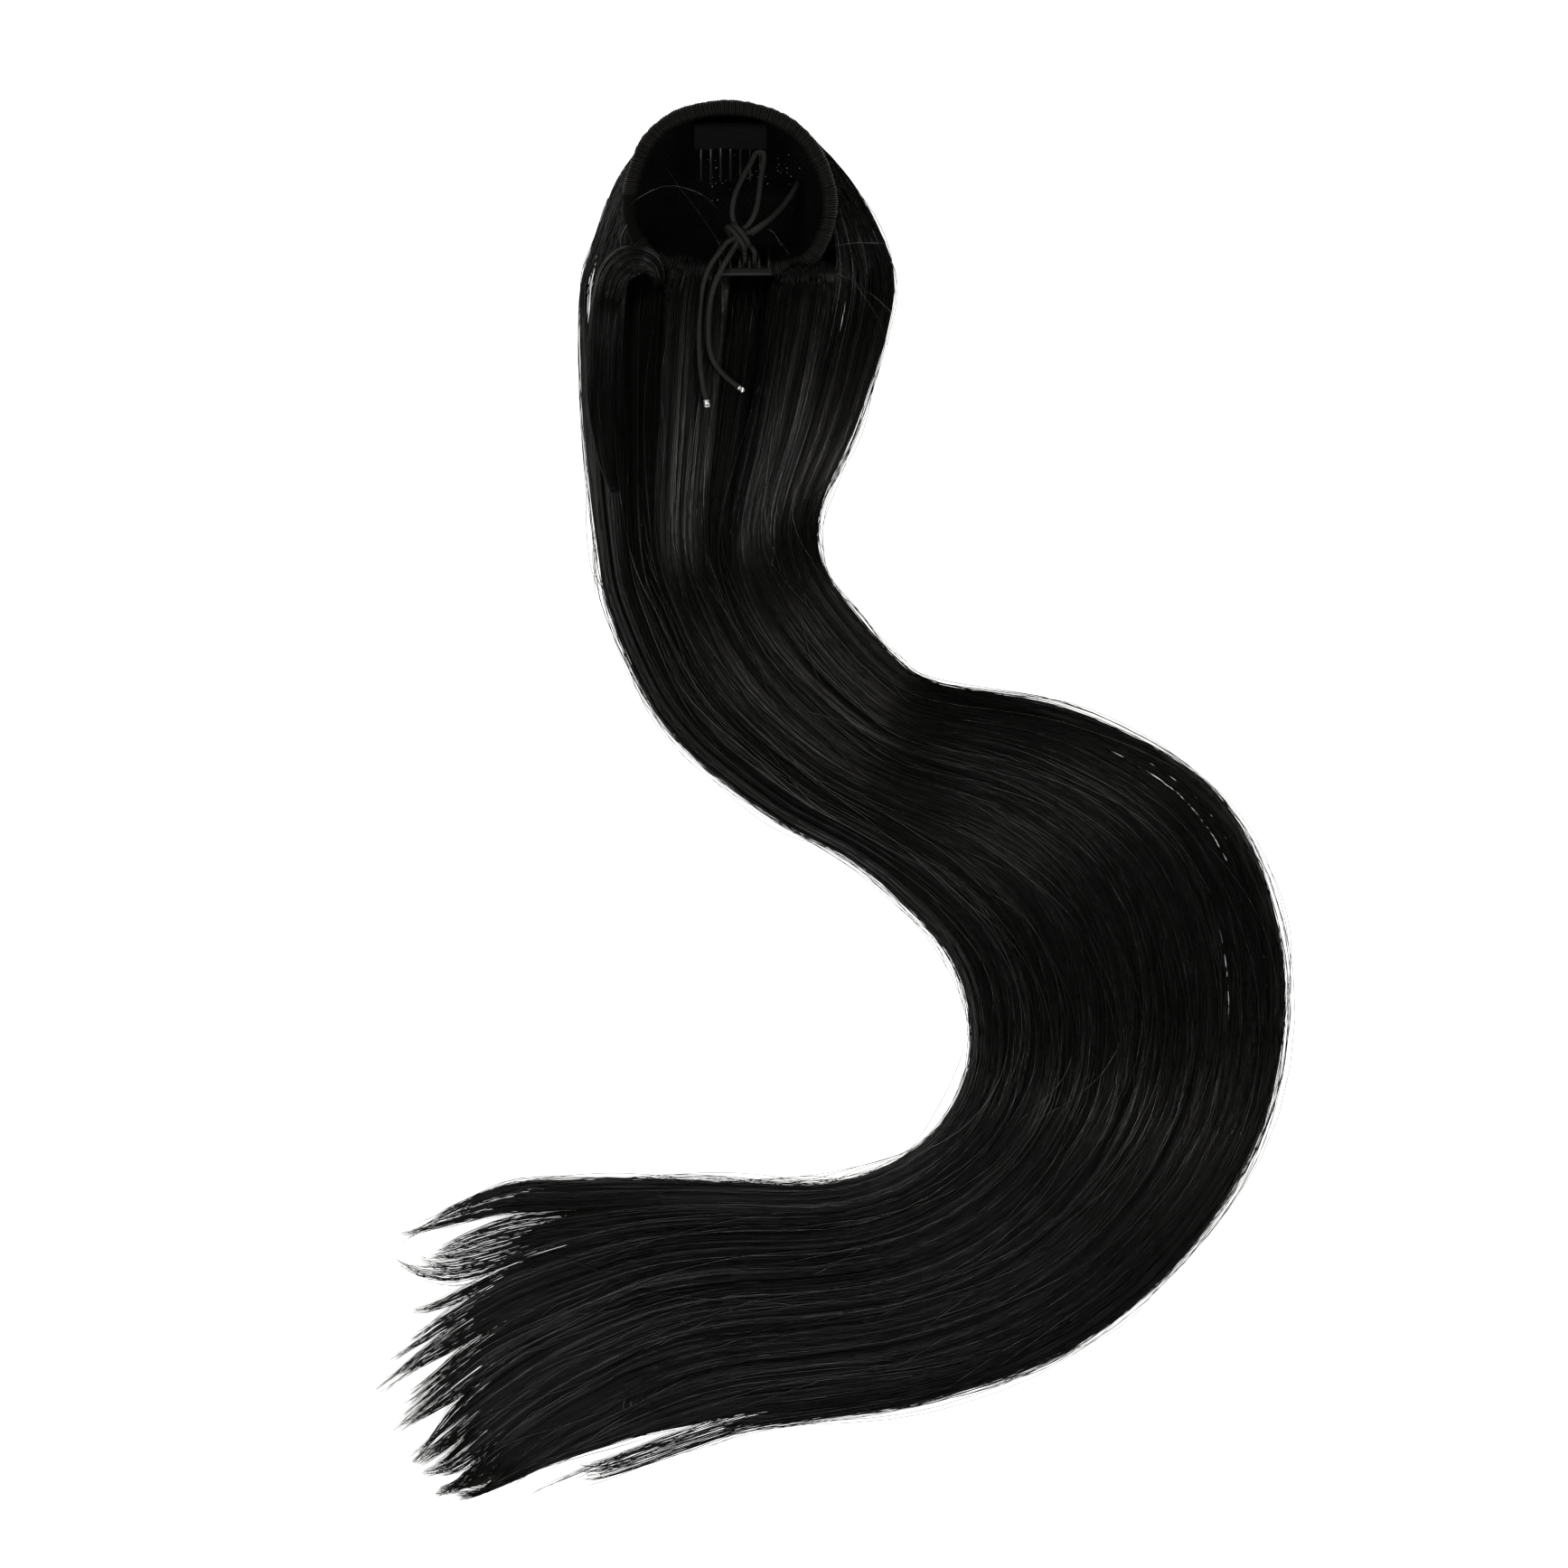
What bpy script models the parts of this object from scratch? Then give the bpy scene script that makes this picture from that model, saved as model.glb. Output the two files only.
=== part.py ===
"""Ponytail hairpiece on a drawstring cap, at rest on its back with the cap's hollow up.

The part is in metres with Z up. The hair lies on the plane Z = 0 and runs in an S from the
cap, at +Y, to its loose tips at -X, -Y. Sizes below are in millimetres and are turned into
metres when a mesh or a curve is made.
"""

import math
from collections import namedtuple

import bmesh
import bpy
import numpy as np

MM = 0.001

# Main bundle of hair: its left, middle and right lines in plan, and its height.
Section = namedtuple("Section", "left middle right height")
HAIR_SECTIONS = (
    Section((-60, 261), (-39, 264), (-18, 261), 10),
    Section((-80, 239), (-37, 240), (6, 239), 20),
    Section((-90, 214), (-34, 213), (21, 213), 24),
    Section((-95, 191), (-36, 189), (24, 191), 27),
    Section((-94, 146), (-41, 145), (11, 146), 25),
    Section((-89, 99), (-46, 105), (-3.5, 113), 21),
    Section((-83, 71), (-42, 81), (-3, 91), 19),
    Section((-62, 29), (-26, 51), (9, 73), 18),
    Section((-24, -3), (0, 26), (24, 56), 17),
    Section((10, -22), (25, 12), (41, 45), 16),
    Section((32, -42), (65, -3), (96, 34), 16),
    Section((46, -59), (98, -29), (150, 1), 15),
    Section((53, -79), (113, -69), (173, -58), 14),
    Section((53, -101), (110, -111), (166, -121), 14),
    Section((44, -121), (90, -147), (134, -173), 13.5),
    Section((29, -135), (60, -172), (91, -208), 13),
    Section((11, -143), (26, -186), (41, -227), 12.5),
    Section((-8, -146), (-8, -191), (-5, -235), 12),
    Section((-38, -145), (-38, -193), (-31, -239), 11.5),
    Section((-69, -144), (-67, -199), (-53, -246), 11),
    Section((-96, -145), (-94, -211), (-74, -253), 10),
    Section((-124, -148), (-119, -226), (-91, -258), 8.5),
    Section((-148, -158), (-140, -243), (-103, -260), 6.5),
    Section((-168, -170), (-156, -263), (-110, -261), 3),
)

# Locks across the bundle, from its left edge (-1) to its right edge (1). Each row gives the
# lock's right edge, the section at which it parts from the next lock, and its tip in plan.
Lock = namedtuple("Lock", "edge parts_at tip")
HAIR_LOCKS = (
    Lock(-0.84, 19.5, (-168.0, -169.4)),
    Lock(-0.68, 21.3, (-170.4, -177.7)),
    Lock(-0.44, 21.2, (-177.0, -226.7)),
    Lock(-0.22, 21.9, (-166.3, -241.5)),
    Lock(0.0, 22.2, (-161.5, -250.8)),
    Lock(0.2, 22.0, (-157.0, -255.5)),
    Lock(0.42, 22.2, (-151.8, -264.5)),
    Lock(0.66, 20.2, (-142.5, -266.3)),
    Lock(1.0, 23.0, (-95.9, -259.4)),
)
LOCK_COLUMNS = (-1.0, -0.6, 0.0, 0.6, 1.0)
RINGS_PER_SECTION = 2
EDGE_HEIGHT = 1.2
FLANK_POWER = 2.6
FLANK_ROUNDING = 0.55
VALLEY_DEPTH = 0.16
FREED_WIDTH_SHARE = 0.96
FREED_NARROWING_POWER = 1.3
FREED_FLANK_DROP = 0.92
OUTER_NARROWING_POWER = 1.5
TIP_WIDTH_SHARE = 0.10

# Shorter hair that comes off the front of the rim and lies on the main bundle.
FrontLayer = namedtuple("FrontLayer", "name locks starts_at ends_at height")
FRONT_LAYERS = (
    FrontLayer("hair_front_left", (3, 4), 2.0, 5.5, 13.0),
    FrontLayer("hair_front_right", (6, 7), 2.0, 6.0, 12.0),
)
LAYER_GAP = 0.4
LAYER_EDGE = 0.9
LAYER_TIP = 0.54
LAYER_FADE_POWER = 0.8
LAYER_ROUNDING = 0.6

# A lock that springs up beside the cap's lower left corner and arches back to the bundle.
CurlSection = namedtuple("CurlSection", "x y z half_width half_height")
CURL_SECTIONS = (
    CurlSection(-66.0, 197.0, 30.0, 1.8, 1.6),
    CurlSection(-65.8, 200.6, 37.2, 2.6, 1.8),
    CurlSection(-68.4, 205.2, 42.2, 3.8, 2.0),
    CurlSection(-74.6, 206.6, 42.6, 4.5, 2.0),
    CurlSection(-80.8, 202.6, 37.0, 4.7, 2.2),
    CurlSection(-84.6, 194.0, 28.6, 4.7, 2.4),
    CurlSection(-86.4, 181.0, 22.6, 4.9, 2.5),
    CurlSection(-87.2, 165.0, 20.6, 4.8, 2.4),
    CurlSection(-87.0, 148.0, 19.4, 4.2, 2.0),
    CurlSection(-85.0, 131.0, 18.2, 2.8, 1.5),
    CurlSection(-82.5, 118.0, 17.4, 1.2, 0.9),
)
CURL_SIDES = 10
CURL_RINGS = 26

# Cap: the plan outline of its rim, the rolled casing round it and the net bowl below.
CAP_CENTRE = (-38.0, 233.5)
RIM_OUTLINE = (
    (-30.5, 200.3),
    (-48.0, 200.6),
    (-62.0, 202.6),
    (-72.0, 208.3),
    (-77.8, 218.5),
    (-79.0, 229.0),
    (-77.0, 240.0),
    (-71.5, 253.0),
    (-62.0, 261.8),
    (-50.0, 266.2),
    (-38.0, 267.4),
    (-25.5, 265.4),
    (-14.0, 260.2),
    (-6.0, 252.7),
    (-0.5, 243.0),
    (2.6, 232.0),
    (2.2, 221.5),
    (-1.5, 211.0),
    (-7.5, 204.2),
    (-17.0, 200.9),
)
CASING_HALF_WIDTH = 2.75
CASING_HALF_HEIGHT = 2.4
CASING_BORE_RADIUS = 1.33
CASING_Z = 36.5
CASING_MOUTH = 12.0
CASING_SIDES = 10
CASING_SPANS = 44
BOWL_SIDES = 40
BOWL_RINGS = 9
BOWL_RING_POWER = 0.75
BOWL_BOTTOM = 9.0
BOWL_DEPTH_POWER = 3.2
BOWL_WALL = 1.2
FIT_GAP = 0.3
HAIR_CLEARANCE = 0.45
CAP_SPACE_RINGS = 7
CAP_SPACE_RIM = 0.1
CAP_SPACE_TOP = 60.0

# Combs: a plastic spine with teeth, at the back in a cloth sleeve and bare at the front.
COMB_THICKNESS = 1.1
TOP_COMB_X = -37.8
TOP_COMB_Y = 258.0
TOP_COMB_Z = 33.9
TOP_COMB_TILT = math.radians(35)
TOP_COMB_TEETH = 7
TOP_COMB_PITCH = 3.75
TOP_SPINE_LENGTH = 25.6
TOP_SPINE_NEAR = 2.0
TOP_SPINE_FAR = 5.5
TOP_SPINE_HEIGHT = 2.3
TOP_TOOTH_WIDTH = 1.3
TOP_TOOTH_TIP = 0.6
TOP_TOOTH_END = 26.5
SLEEVE_LENGTH = 27.4
SLEEVE_DEPTH = 9.4
SLEEVE_HEIGHT = 5.0
SLEEVE_WALL = 1.05
SLEEVE_FOLD_DEPTH = 0.6
SLEEVE_FOLD_SHARE = 0.6
FRONT_COMB_X = -32.4
FRONT_COMB_TEETH = 6
FRONT_COMB_PITCH = 3.7
FRONT_SPINE_LENGTH = 21.0
FRONT_SPINE_Y = 202.0
FRONT_SPINE_Z = 40.4
FRONT_SPINE_WIDTH = 3.2
FRONT_SPINE_HEIGHT = 2.0
FRONT_TOOTH_WIDTH = 0.9
FRONT_TOOTH_RISE_SHARE = 0.3
# Height and half width of a front tooth along its bend, from the spine to its point.
ToothStep = namedtuple("ToothStep", "y z half_width")
FRONT_TOOTH_STEPS = (
    ToothStep(206.2, 41.0, 0.45),
    ToothStep(207.4, 39.0, 0.45),
    ToothStep(208.6, 34.0, 0.45),
    ToothStep(212.4, 25.0, 0.35),
    ToothStep(215.6, 20.5, 0.2),
)

# Drawstring: one round elastic cord, tied in a bow over the front of the cap.
CORD_RADIUS = 1.03
CORD_STEP = 4.6
KNOT_CENTRE = (-34.8, 215.4, 38.2)
KNOT_SIZE = (9.0, 8.0, 6.2)
KNOT_WAIST_SHARE = 0.13
KNOT_WAIST_WIDTH = 0.14
LEFT_ROOT = ((-36.0, 203.1, 36.5), (-33.4, 203.8, 36.6), (-32.4, 205.9, 36.8), (-32.4, 209.0, 37.2),
             (-33.3, 211.1, 37.6))
RIGHT_ROOT = ((-25.0, 203.1, 36.5), (-27.6, 203.8, 36.6), (-28.7, 205.9, 36.8), (-28.6, 209.4, 37.2),
              (-30.7, 212.2, 37.6))
TALL_LOOP = ((-35.9, 219.9, 38.6), (-36.9, 222.6, 39.4), (-37.0, 226.6, 39.3), (-35.7, 232.2, 37.6),
             (-32.9, 238.4, 34.2), (-29.9, 243.8, 30.8), (-28.2, 247.2, 28.9), (-26.4, 248.3, 28.4),
             (-25.1, 246.8, 28.9), (-25.3, 243.2, 30.6), (-26.2, 238.0, 33.6), (-26.9, 232.0, 36.6),
             (-27.8, 226.6, 38.6), (-29.3, 222.4, 39.4), (-31.4, 219.4, 39.0))
SHORT_LOOP = ((-30.2, 217.1, 39.4), (-27.0, 219.2, 40.0), (-23.5, 221.6, 38.2), (-20.2, 224.7, 34.4),
              (-17.2, 228.1, 30.0), (-14.6, 231.8, 26.0), (-12.8, 234.7, 23.4), (-12.0, 235.9, 21.3),
              (-12.9, 234.4, 20.1), (-15.4, 230.6, 22.2), (-18.4, 226.7, 26.2), (-21.6, 223.2, 30.6),
              (-24.8, 220.2, 34.2), (-27.4, 218.2, 35.9), (-30.1, 216.4, 36.4))
LEFT_TAIL = ((-39.2, 213.1, 39.7), (-41.7, 209.6, 40.9), (-44.8, 205.4, 41.1), (-47.3, 200.0, 39.9),
             (-48.9, 192.5, 38.2), (-49.7, 180.0, 37.6), (-49.4, 168.0, 37.7), (-48.3, 159.0, 36.6),
             (-47.1, 153.6, 35.9))
RIGHT_TAIL = ((-36.1, 211.5, 40.2), (-38.6, 207.4, 42.7), (-41.6, 202.2, 43.3), (-44.2, 196.0, 41.4),
              (-45.7, 189.0, 39.8), (-46.2, 181.0, 39.1), (-45.9, 173.4, 38.3), (-43.8, 167.2, 37.2),
              (-39.4, 162.0, 32.8), (-35.1, 158.6, 30.6))
TIP_RADIUS = 1.35
TIP_LENGTH = 3.0


for leftover in list(bpy.data.objects):
    bpy.data.objects.remove(leftover, do_unlink=True)


def new_material(name, colour, roughness, metallic=0.0):
    material = bpy.data.materials.new(name)
    material.use_nodes = True
    shader = material.node_tree.nodes["Principled BSDF"]
    shader.inputs["Base Color"].default_value = (*colour, 1.0)
    shader.inputs["Roughness"].default_value = roughness
    shader.inputs["Metallic"].default_value = metallic
    return material


def mesh_object(name, points, faces, material, sharp_angle=40):
    """A closed mesh from points in millimetres, its faces turned outwards and shaded smooth."""
    work = bmesh.new()
    corners = [work.verts.new([float(value) * MM for value in point]) for point in points]
    for face in faces:
        work.faces.new([corners[number] for number in face])
    bmesh.ops.recalc_face_normals(work, faces=work.faces)
    mesh = bpy.data.meshes.new(name)
    work.to_mesh(mesh)
    work.free()
    mesh.shade_smooth()
    mesh.set_sharp_from_angle(angle=math.radians(sharp_angle))
    mesh.materials.append(material)
    made = bpy.data.objects.new(name, mesh)
    bpy.context.scene.collection.objects.link(made)
    return made


def catmull_rom(rows, place):
    """The value at a place, counted in rows, on the smooth curve through all the rows."""
    first = min(int(place), len(rows) - 2)
    share = place - first
    before = rows[first - 1] if first else 2 * rows[0] - rows[1]
    here = rows[first]
    ahead = rows[first + 1]
    beyond = rows[first + 2] if first + 2 < len(rows) else 2 * rows[-1] - rows[-2]
    bend = 2 * before - 5 * here + 4 * ahead - beyond
    twist = 3 * here - before - 3 * ahead + beyond
    return here + 0.5 * ((ahead - before) * share + bend * share**2 + twist * share**3)


def spaced_points(rows, count, start=0.0, end=1.0):
    """Points at equal lengths along the smooth curve through the rows, between two shares of it."""
    rows = np.array(rows, float)
    fine = np.array([catmull_rom(rows, place) for place in np.linspace(0, len(rows) - 1, 40 * len(rows))])
    run = np.concatenate([[0.0], np.cumsum(np.linalg.norm(np.diff(fine, axis=0), axis=1))])
    wanted = np.linspace(start, end, count) * run[-1]
    return np.stack([np.interp(wanted, run, column) for column in fine.T], axis=1)


def loft_faces(ring_count, side_count, closed=False):
    """Faces that join rings of equal size into a tube, with its ends capped unless it is closed."""
    faces = []
    for ring in range(ring_count if closed else ring_count - 1):
        here = ring * side_count
        ahead = (ring + 1) % ring_count * side_count
        for side in range(side_count):
            following = (side + 1) % side_count
            faces.append((here + side, here + following, ahead + following, ahead + side))
    if not closed:
        faces.append(tuple(range(side_count)))
        faces.append(tuple(range((ring_count - 1) * side_count, ring_count * side_count)))
    return faces


def cut_away(made, cutter):
    modifier = made.modifiers.new("cap space", "BOOLEAN")
    modifier.operation = "DIFFERENCE"
    modifier.solver = "EXACT"
    modifier.object = cutter


def cord_object(name, route, material):
    """A round cord along the smooth curve through a route, with a flat end at each side."""
    length = np.linalg.norm(np.diff(np.array(route, float), axis=0), axis=1).sum()
    points = spaced_points(route, max(12, round(length / CORD_STEP) + 1))
    return tube_object(name, points, CORD_RADIUS, material)


def tube_object(name, points, radius, material):
    curve = bpy.data.curves.new(name, "CURVE")
    curve.dimensions = "3D"
    curve.bevel_depth = radius * MM
    curve.bevel_resolution = 2
    curve.use_fill_caps = True
    spline = curve.splines.new("POLY")
    spline.points.add(len(points) - 1)
    for corner, point in zip(spline.points, points):
        corner.co = (*(float(value) * MM for value in point), 1.0)
    spline.use_smooth = True
    curve.materials.append(material)
    made = bpy.data.objects.new(name, curve)
    bpy.context.scene.collection.objects.link(made)
    return made


# Main bundle of hair

SECTION_ROWS = np.array([(*row.left, *row.middle, *row.right, row.height) for row in HAIR_SECTIONS], float)
LAST_RING = (len(HAIR_SECTIONS) - 1) * RINGS_PER_SECTION
LOCK_EDGES = (-1.0, *(lock.edge for lock in HAIR_LOCKS))
# Ring after which the locks on the two sides of each edge are apart; the outer edges are free all along.
EDGE_PARTS = [-1] + [round(lock.parts_at * RINGS_PER_SECTION) for lock in HAIR_LOCKS]
EDGE_PARTS[-1] = -1


def bundle_plan(section, across):
    """The plan point at a section, and at a place across from -1 on the left line to 1 on the right."""
    row = catmull_rom(SECTION_ROWS, section)
    left, middle, right = row[0:2], row[2:4], row[4:6]
    return (
        left * across * (across - 1) / 2
        + middle * (1 - across**2)
        + right * across * (across + 1) / 2
    )


def bundle_height(section, across):
    full = catmull_rom(SECTION_ROWS, section)[6]
    return full * max(0.0, 1 - abs(across) ** FLANK_POWER) ** FLANK_ROUNDING


def freedom(ring, edge):
    """How far an edge between two locks has opened at a ring, from 0 where they join to 1 at the tips."""
    opens = EDGE_PARTS[edge]
    if opens < 0 or ring <= opens:
        return 0.0
    return (ring - opens) / (LAST_RING - opens)


def lock_top(ring, lock):
    """The points along the top of one lock at one ring, from its left edge to its right edge."""
    section = ring / RINGS_PER_SECTION
    left, right = LOCK_EDGES[lock], LOCK_EDGES[lock + 1]
    centre = (left + right) / 2
    opened = (freedom(ring, lock), freedom(ring, lock + 1))
    settled = [share for share, edge in zip(opened, (lock, lock + 1)) if EDGE_PARTS[edge] >= 0]
    pull = np.array(HAIR_LOCKS[lock].tip) - bundle_plan(len(HAIR_SECTIONS) - 1, centre)
    points = []
    for column in LOCK_COLUMNS:
        opening = opened[0] if column < 0 else opened[1]
        if column == 0:
            opening = min(settled)
        narrowing = 1.0
        if opening > 0:
            narrowed = (FREED_WIDTH_SHARE - TIP_WIDTH_SHARE) * opening**FREED_NARROWING_POWER
            narrowing = FREED_WIDTH_SHARE - narrowed
        if EDGE_PARTS[lock if column < 0 else lock + 1] < 0:
            narrowing = 1 - (1 - TIP_WIDTH_SHARE) * min(settled) ** OUTER_NARROWING_POWER
        across = centre + column * (right - left) / 2 * narrowing
        plan = bundle_plan(section, across) + pull * min(settled) ** 2
        joined = bundle_height(section, across) * (1 - VALLEY_DEPTH * column**4)
        alone = bundle_height(section, centre) * math.sqrt(1 - FREED_FLANK_DROP * column**2)
        blend = min(1.0, 2 * opening)
        height = EDGE_HEIGHT + (joined * (1 - blend) + alone * blend)
        points.append((*plan, height))
    return points


def strip_faces(here, ahead):
    """Triangles between two rows of vertices, all cut along the same diagonal."""
    faces = []
    for column in range(len(here) - 1):
        faces.append((here[column], here[column + 1], ahead[column + 1]))
        faces.append((here[column], ahead[column + 1], ahead[column]))
    return faces


def make_hair_back(material):
    points = []
    faces = []
    numbers = {}

    def vertex(key, point):
        if key not in numbers:
            numbers[key] = len(points)
            points.append(point)
        return numbers[key]

    def edge_key(ring, edge, lock):
        opens = EDGE_PARTS[edge]
        return (ring, edge) if 0 <= ring <= opens else (ring, edge, lock)

    def outline(ring, lock):
        """Vertex numbers along the top of a lock, then at its left and right edges on the ground."""
        top = lock_top(ring, lock)
        keys = [edge_key(ring, lock, lock)]
        keys += [(ring, lock, "top", column) for column in range(1, len(LOCK_COLUMNS) - 1)]
        keys.append(edge_key(ring, lock + 1, lock))
        row = [vertex(("top", key), point) for key, point in zip(keys, top)]
        left = vertex(("ground", keys[0]), (*top[0][:2], 0.0))
        right = vertex(("ground", keys[-1]), (*top[-1][:2], 0.0))
        return row, left, right

    for lock in range(len(HAIR_LOCKS)):
        for ring in range(LAST_RING):
            top, left, right = outline(ring, lock)
            next_top, next_left, next_right = outline(ring + 1, lock)
            faces += strip_faces(top, next_top)
            faces += strip_faces([left, right], [next_left, next_right])
            if ring >= EDGE_PARTS[lock]:
                faces += strip_faces([top[0], left], [next_top[0], next_left])
            if ring >= EDGE_PARTS[lock + 1]:
                faces += strip_faces([top[-1], right], [next_top[-1], next_right])
        for ring in (0, LAST_RING):
            top, left, right = outline(ring, lock)
            faces.append((*top, right, left))
    return mesh_object("hair_back", points, faces, material)


def make_front_layer(layer, material):
    """Shorter hair that follows the top of the main bundle over a few of its locks."""
    first = round(layer.starts_at * RINGS_PER_SECTION)
    last = round(layer.ends_at * RINGS_PER_SECTION)
    points = []
    faces = []
    rows = []
    for ring in range(first, last + 1):
        base = []
        for lock in layer.locks:
            base += lock_top(ring, lock)[0 if not base else 1:]
        fade = 1 - (ring - first) / (last - first)
        under = []
        over = []
        for column, (x, y, z) in enumerate(base):
            across = 2 * column / (len(base) - 1) - 1
            round_top = max(0.0, 1 - across**2) ** LAYER_ROUNDING
            under.append(len(points))
            points.append((x, y, z + LAYER_GAP))
            over.append(len(points))
            raised = layer.height * fade**LAYER_FADE_POWER - LAYER_EDGE * (1 - fade)
            thickness = max(LAYER_TIP, LAYER_EDGE + raised * round_top)
            points.append((x, y, z + LAYER_GAP + thickness))
        rows.append((under, over))
    for (under, over), (next_under, next_over) in zip(rows, rows[1:]):
        faces += strip_faces(under, next_under)
        faces += strip_faces(over, next_over)
        faces += strip_faces([under[0], over[0]], [next_under[0], next_over[0]])
        faces += strip_faces([under[-1], over[-1]], [next_under[-1], next_over[-1]])
    for under, over in (rows[0], rows[-1]):
        faces.append((*under, *reversed(over)))
    return mesh_object(layer.name, points, faces, material)


def make_curl(material):
    """A flattened lock swept along its own arch."""
    rows = np.array(CURL_SECTIONS, float)
    samples = spaced_points(rows, CURL_RINGS)
    points = []
    for ring, row in enumerate(samples):
        heading = samples[min(ring + 1, CURL_RINGS - 1)][:3] - samples[max(ring - 1, 0)][:3]
        heading /= np.linalg.norm(heading)
        sideways = np.cross(heading, (0.0, 0.0, 1.0))
        sideways /= np.linalg.norm(sideways)
        upwards = np.cross(sideways, heading)
        for side in range(CURL_SIDES):
            turn = 2 * math.pi * side / CURL_SIDES
            reach = sideways * math.cos(turn) * row[3] + upwards * math.sin(turn) * row[4]
            points.append(row[:3] + reach)
    return mesh_object("hair_curl_left", points, loft_faces(CURL_RINGS, CURL_SIDES), material)


# Cap

def rim_curve(count, inset, start=0.0, end=1.0):
    """Plan points round the rim at an inset from its outer edge, from the mouth at the front."""
    middle = np.array(CAP_CENTRE)
    closed = (*RIM_OUTLINE, RIM_OUTLINE[0])
    outline = spaced_points(closed, 400)[:-1]
    along = np.roll(outline, -1, axis=0) - np.roll(outline, 1, axis=0)
    along /= np.linalg.norm(along, axis=1)[:, None]
    inwards = np.stack([-along[:, 1], along[:, 0]], axis=1)
    inwards *= np.sign(((middle - outline) * inwards).sum(axis=1))[:, None]
    moved = outline + inwards * inset
    moved = np.vstack([moved, moved[:1]])
    run = np.concatenate([[0.0], np.cumsum(np.linalg.norm(np.diff(moved, axis=0), axis=1))])
    wanted = np.linspace(start, end, count) * run[-1]
    return np.stack([np.interp(wanted, run, column) for column in moved.T], axis=1)


def rim_length():
    outline = rim_curve(200, CASING_HALF_WIDTH)
    return np.linalg.norm(np.diff(outline, axis=0), axis=1).sum()


MOUTH_SHARE = CASING_MOUTH / 2 / rim_length()
CASING_LINE = rim_curve(CASING_SPANS + 1, CASING_HALF_WIDTH, MOUTH_SHARE, 1 - MOUTH_SHARE)
BOWL_RIM = rim_curve(BOWL_SIDES + 1, CASING_HALF_WIDTH)[:-1]
BOWL_TOP = CASING_Z - CASING_HALF_HEIGHT - FIT_GAP


def bowl_height(share):
    """Height of the bowl's outer face at a share of the way from its centre to its rim."""
    return BOWL_BOTTOM + (BOWL_TOP - BOWL_BOTTOM) * share**BOWL_DEPTH_POWER


def bowl_ring(share, raised, outset=0.0):
    """Plan ring of the bowl at a share of its radius, moved outwards by an outset."""
    middle = np.array(CAP_CENTRE)
    spokes = BOWL_RIM - middle
    lengths = np.linalg.norm(spokes, axis=1)[:, None]
    plan = middle + spokes * share + spokes / lengths * outset
    return [(*point, raised) for point in plan]


def make_casing(material):
    """The rolled cloth casing round the rim, hollow for the cord and open at the front."""
    rings = len(CASING_LINE)
    outer_size = (CASING_HALF_WIDTH, CASING_HALF_HEIGHT)
    bore_size = (CASING_BORE_RADIUS, CASING_BORE_RADIUS)
    points = []
    for ring, (x, y) in enumerate(CASING_LINE):
        along = CASING_LINE[min(ring + 1, rings - 1)] - CASING_LINE[max(ring - 1, 0)]
        along /= np.linalg.norm(along)
        across = np.array((along[1], -along[0]))
        for wide, high in (outer_size, bore_size):
            for side in range(CASING_SIDES):
                turn = 2 * math.pi * side / CASING_SIDES
                plan = np.array((x, y)) + across * wide * math.cos(turn)
                points.append((*plan, CASING_Z + high * math.sin(turn)))
    faces = []
    stride = 2 * CASING_SIDES
    for ring in range(rings - 1):
        for shell in (0, CASING_SIDES):
            for side in range(CASING_SIDES):
                following = (side + 1) % CASING_SIDES
                here = ring * stride + shell
                ahead = here + stride
                faces.append((here + side, here + following, ahead + following, ahead + side))
    for ring in (0, rings - 1):
        for side in range(CASING_SIDES):
            following = (side + 1) % CASING_SIDES
            outer = ring * stride
            inner = outer + CASING_SIDES
            faces.append((outer + side, outer + following, inner + following, inner + side))
    return mesh_object("rim_casing", points, faces, material)


def make_bowl(material):
    """The net bowl of the cap: an open wall of even thickness."""
    shares = [((ring + 1) / BOWL_RINGS) ** BOWL_RING_POWER for ring in range(BOWL_RINGS)]
    reach = np.linalg.norm(BOWL_RIM - np.array(CAP_CENTRE), axis=1).mean()
    points = [(*CAP_CENTRE, BOWL_BOTTOM), (*CAP_CENTRE, BOWL_BOTTOM + BOWL_WALL)]
    for share in shares:
        points += bowl_ring(share, bowl_height(share))
    for share in shares:
        slope = (bowl_height(share) - bowl_height(share - 0.02)) / (0.02 * reach)
        tilt = math.atan(slope)
        raised = bowl_height(share) + BOWL_WALL * math.cos(tilt)
        if share == shares[-1]:
            raised = BOWL_TOP
        points += bowl_ring(share, raised, -BOWL_WALL * math.sin(tilt))
    faces = []
    inner = 2 + BOWL_RINGS * BOWL_SIDES
    for side in range(BOWL_SIDES):
        following = (side + 1) % BOWL_SIDES
        faces.append((0, 2 + side, 2 + following))
        faces.append((1, inner + side, inner + following))
        for ring in range(BOWL_RINGS - 1):
            for shell in (2, inner):
                here = shell + ring * BOWL_SIDES
                ahead = here + BOWL_SIDES
                faces.append((here + side, here + following, ahead + following, ahead + side))
        rim = (BOWL_RINGS - 1) * BOWL_SIDES
        faces.append((2 + rim + side, 2 + rim + following, inner + rim + following, inner + rim + side))
    return mesh_object("cap_net", points, faces, material)


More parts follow.
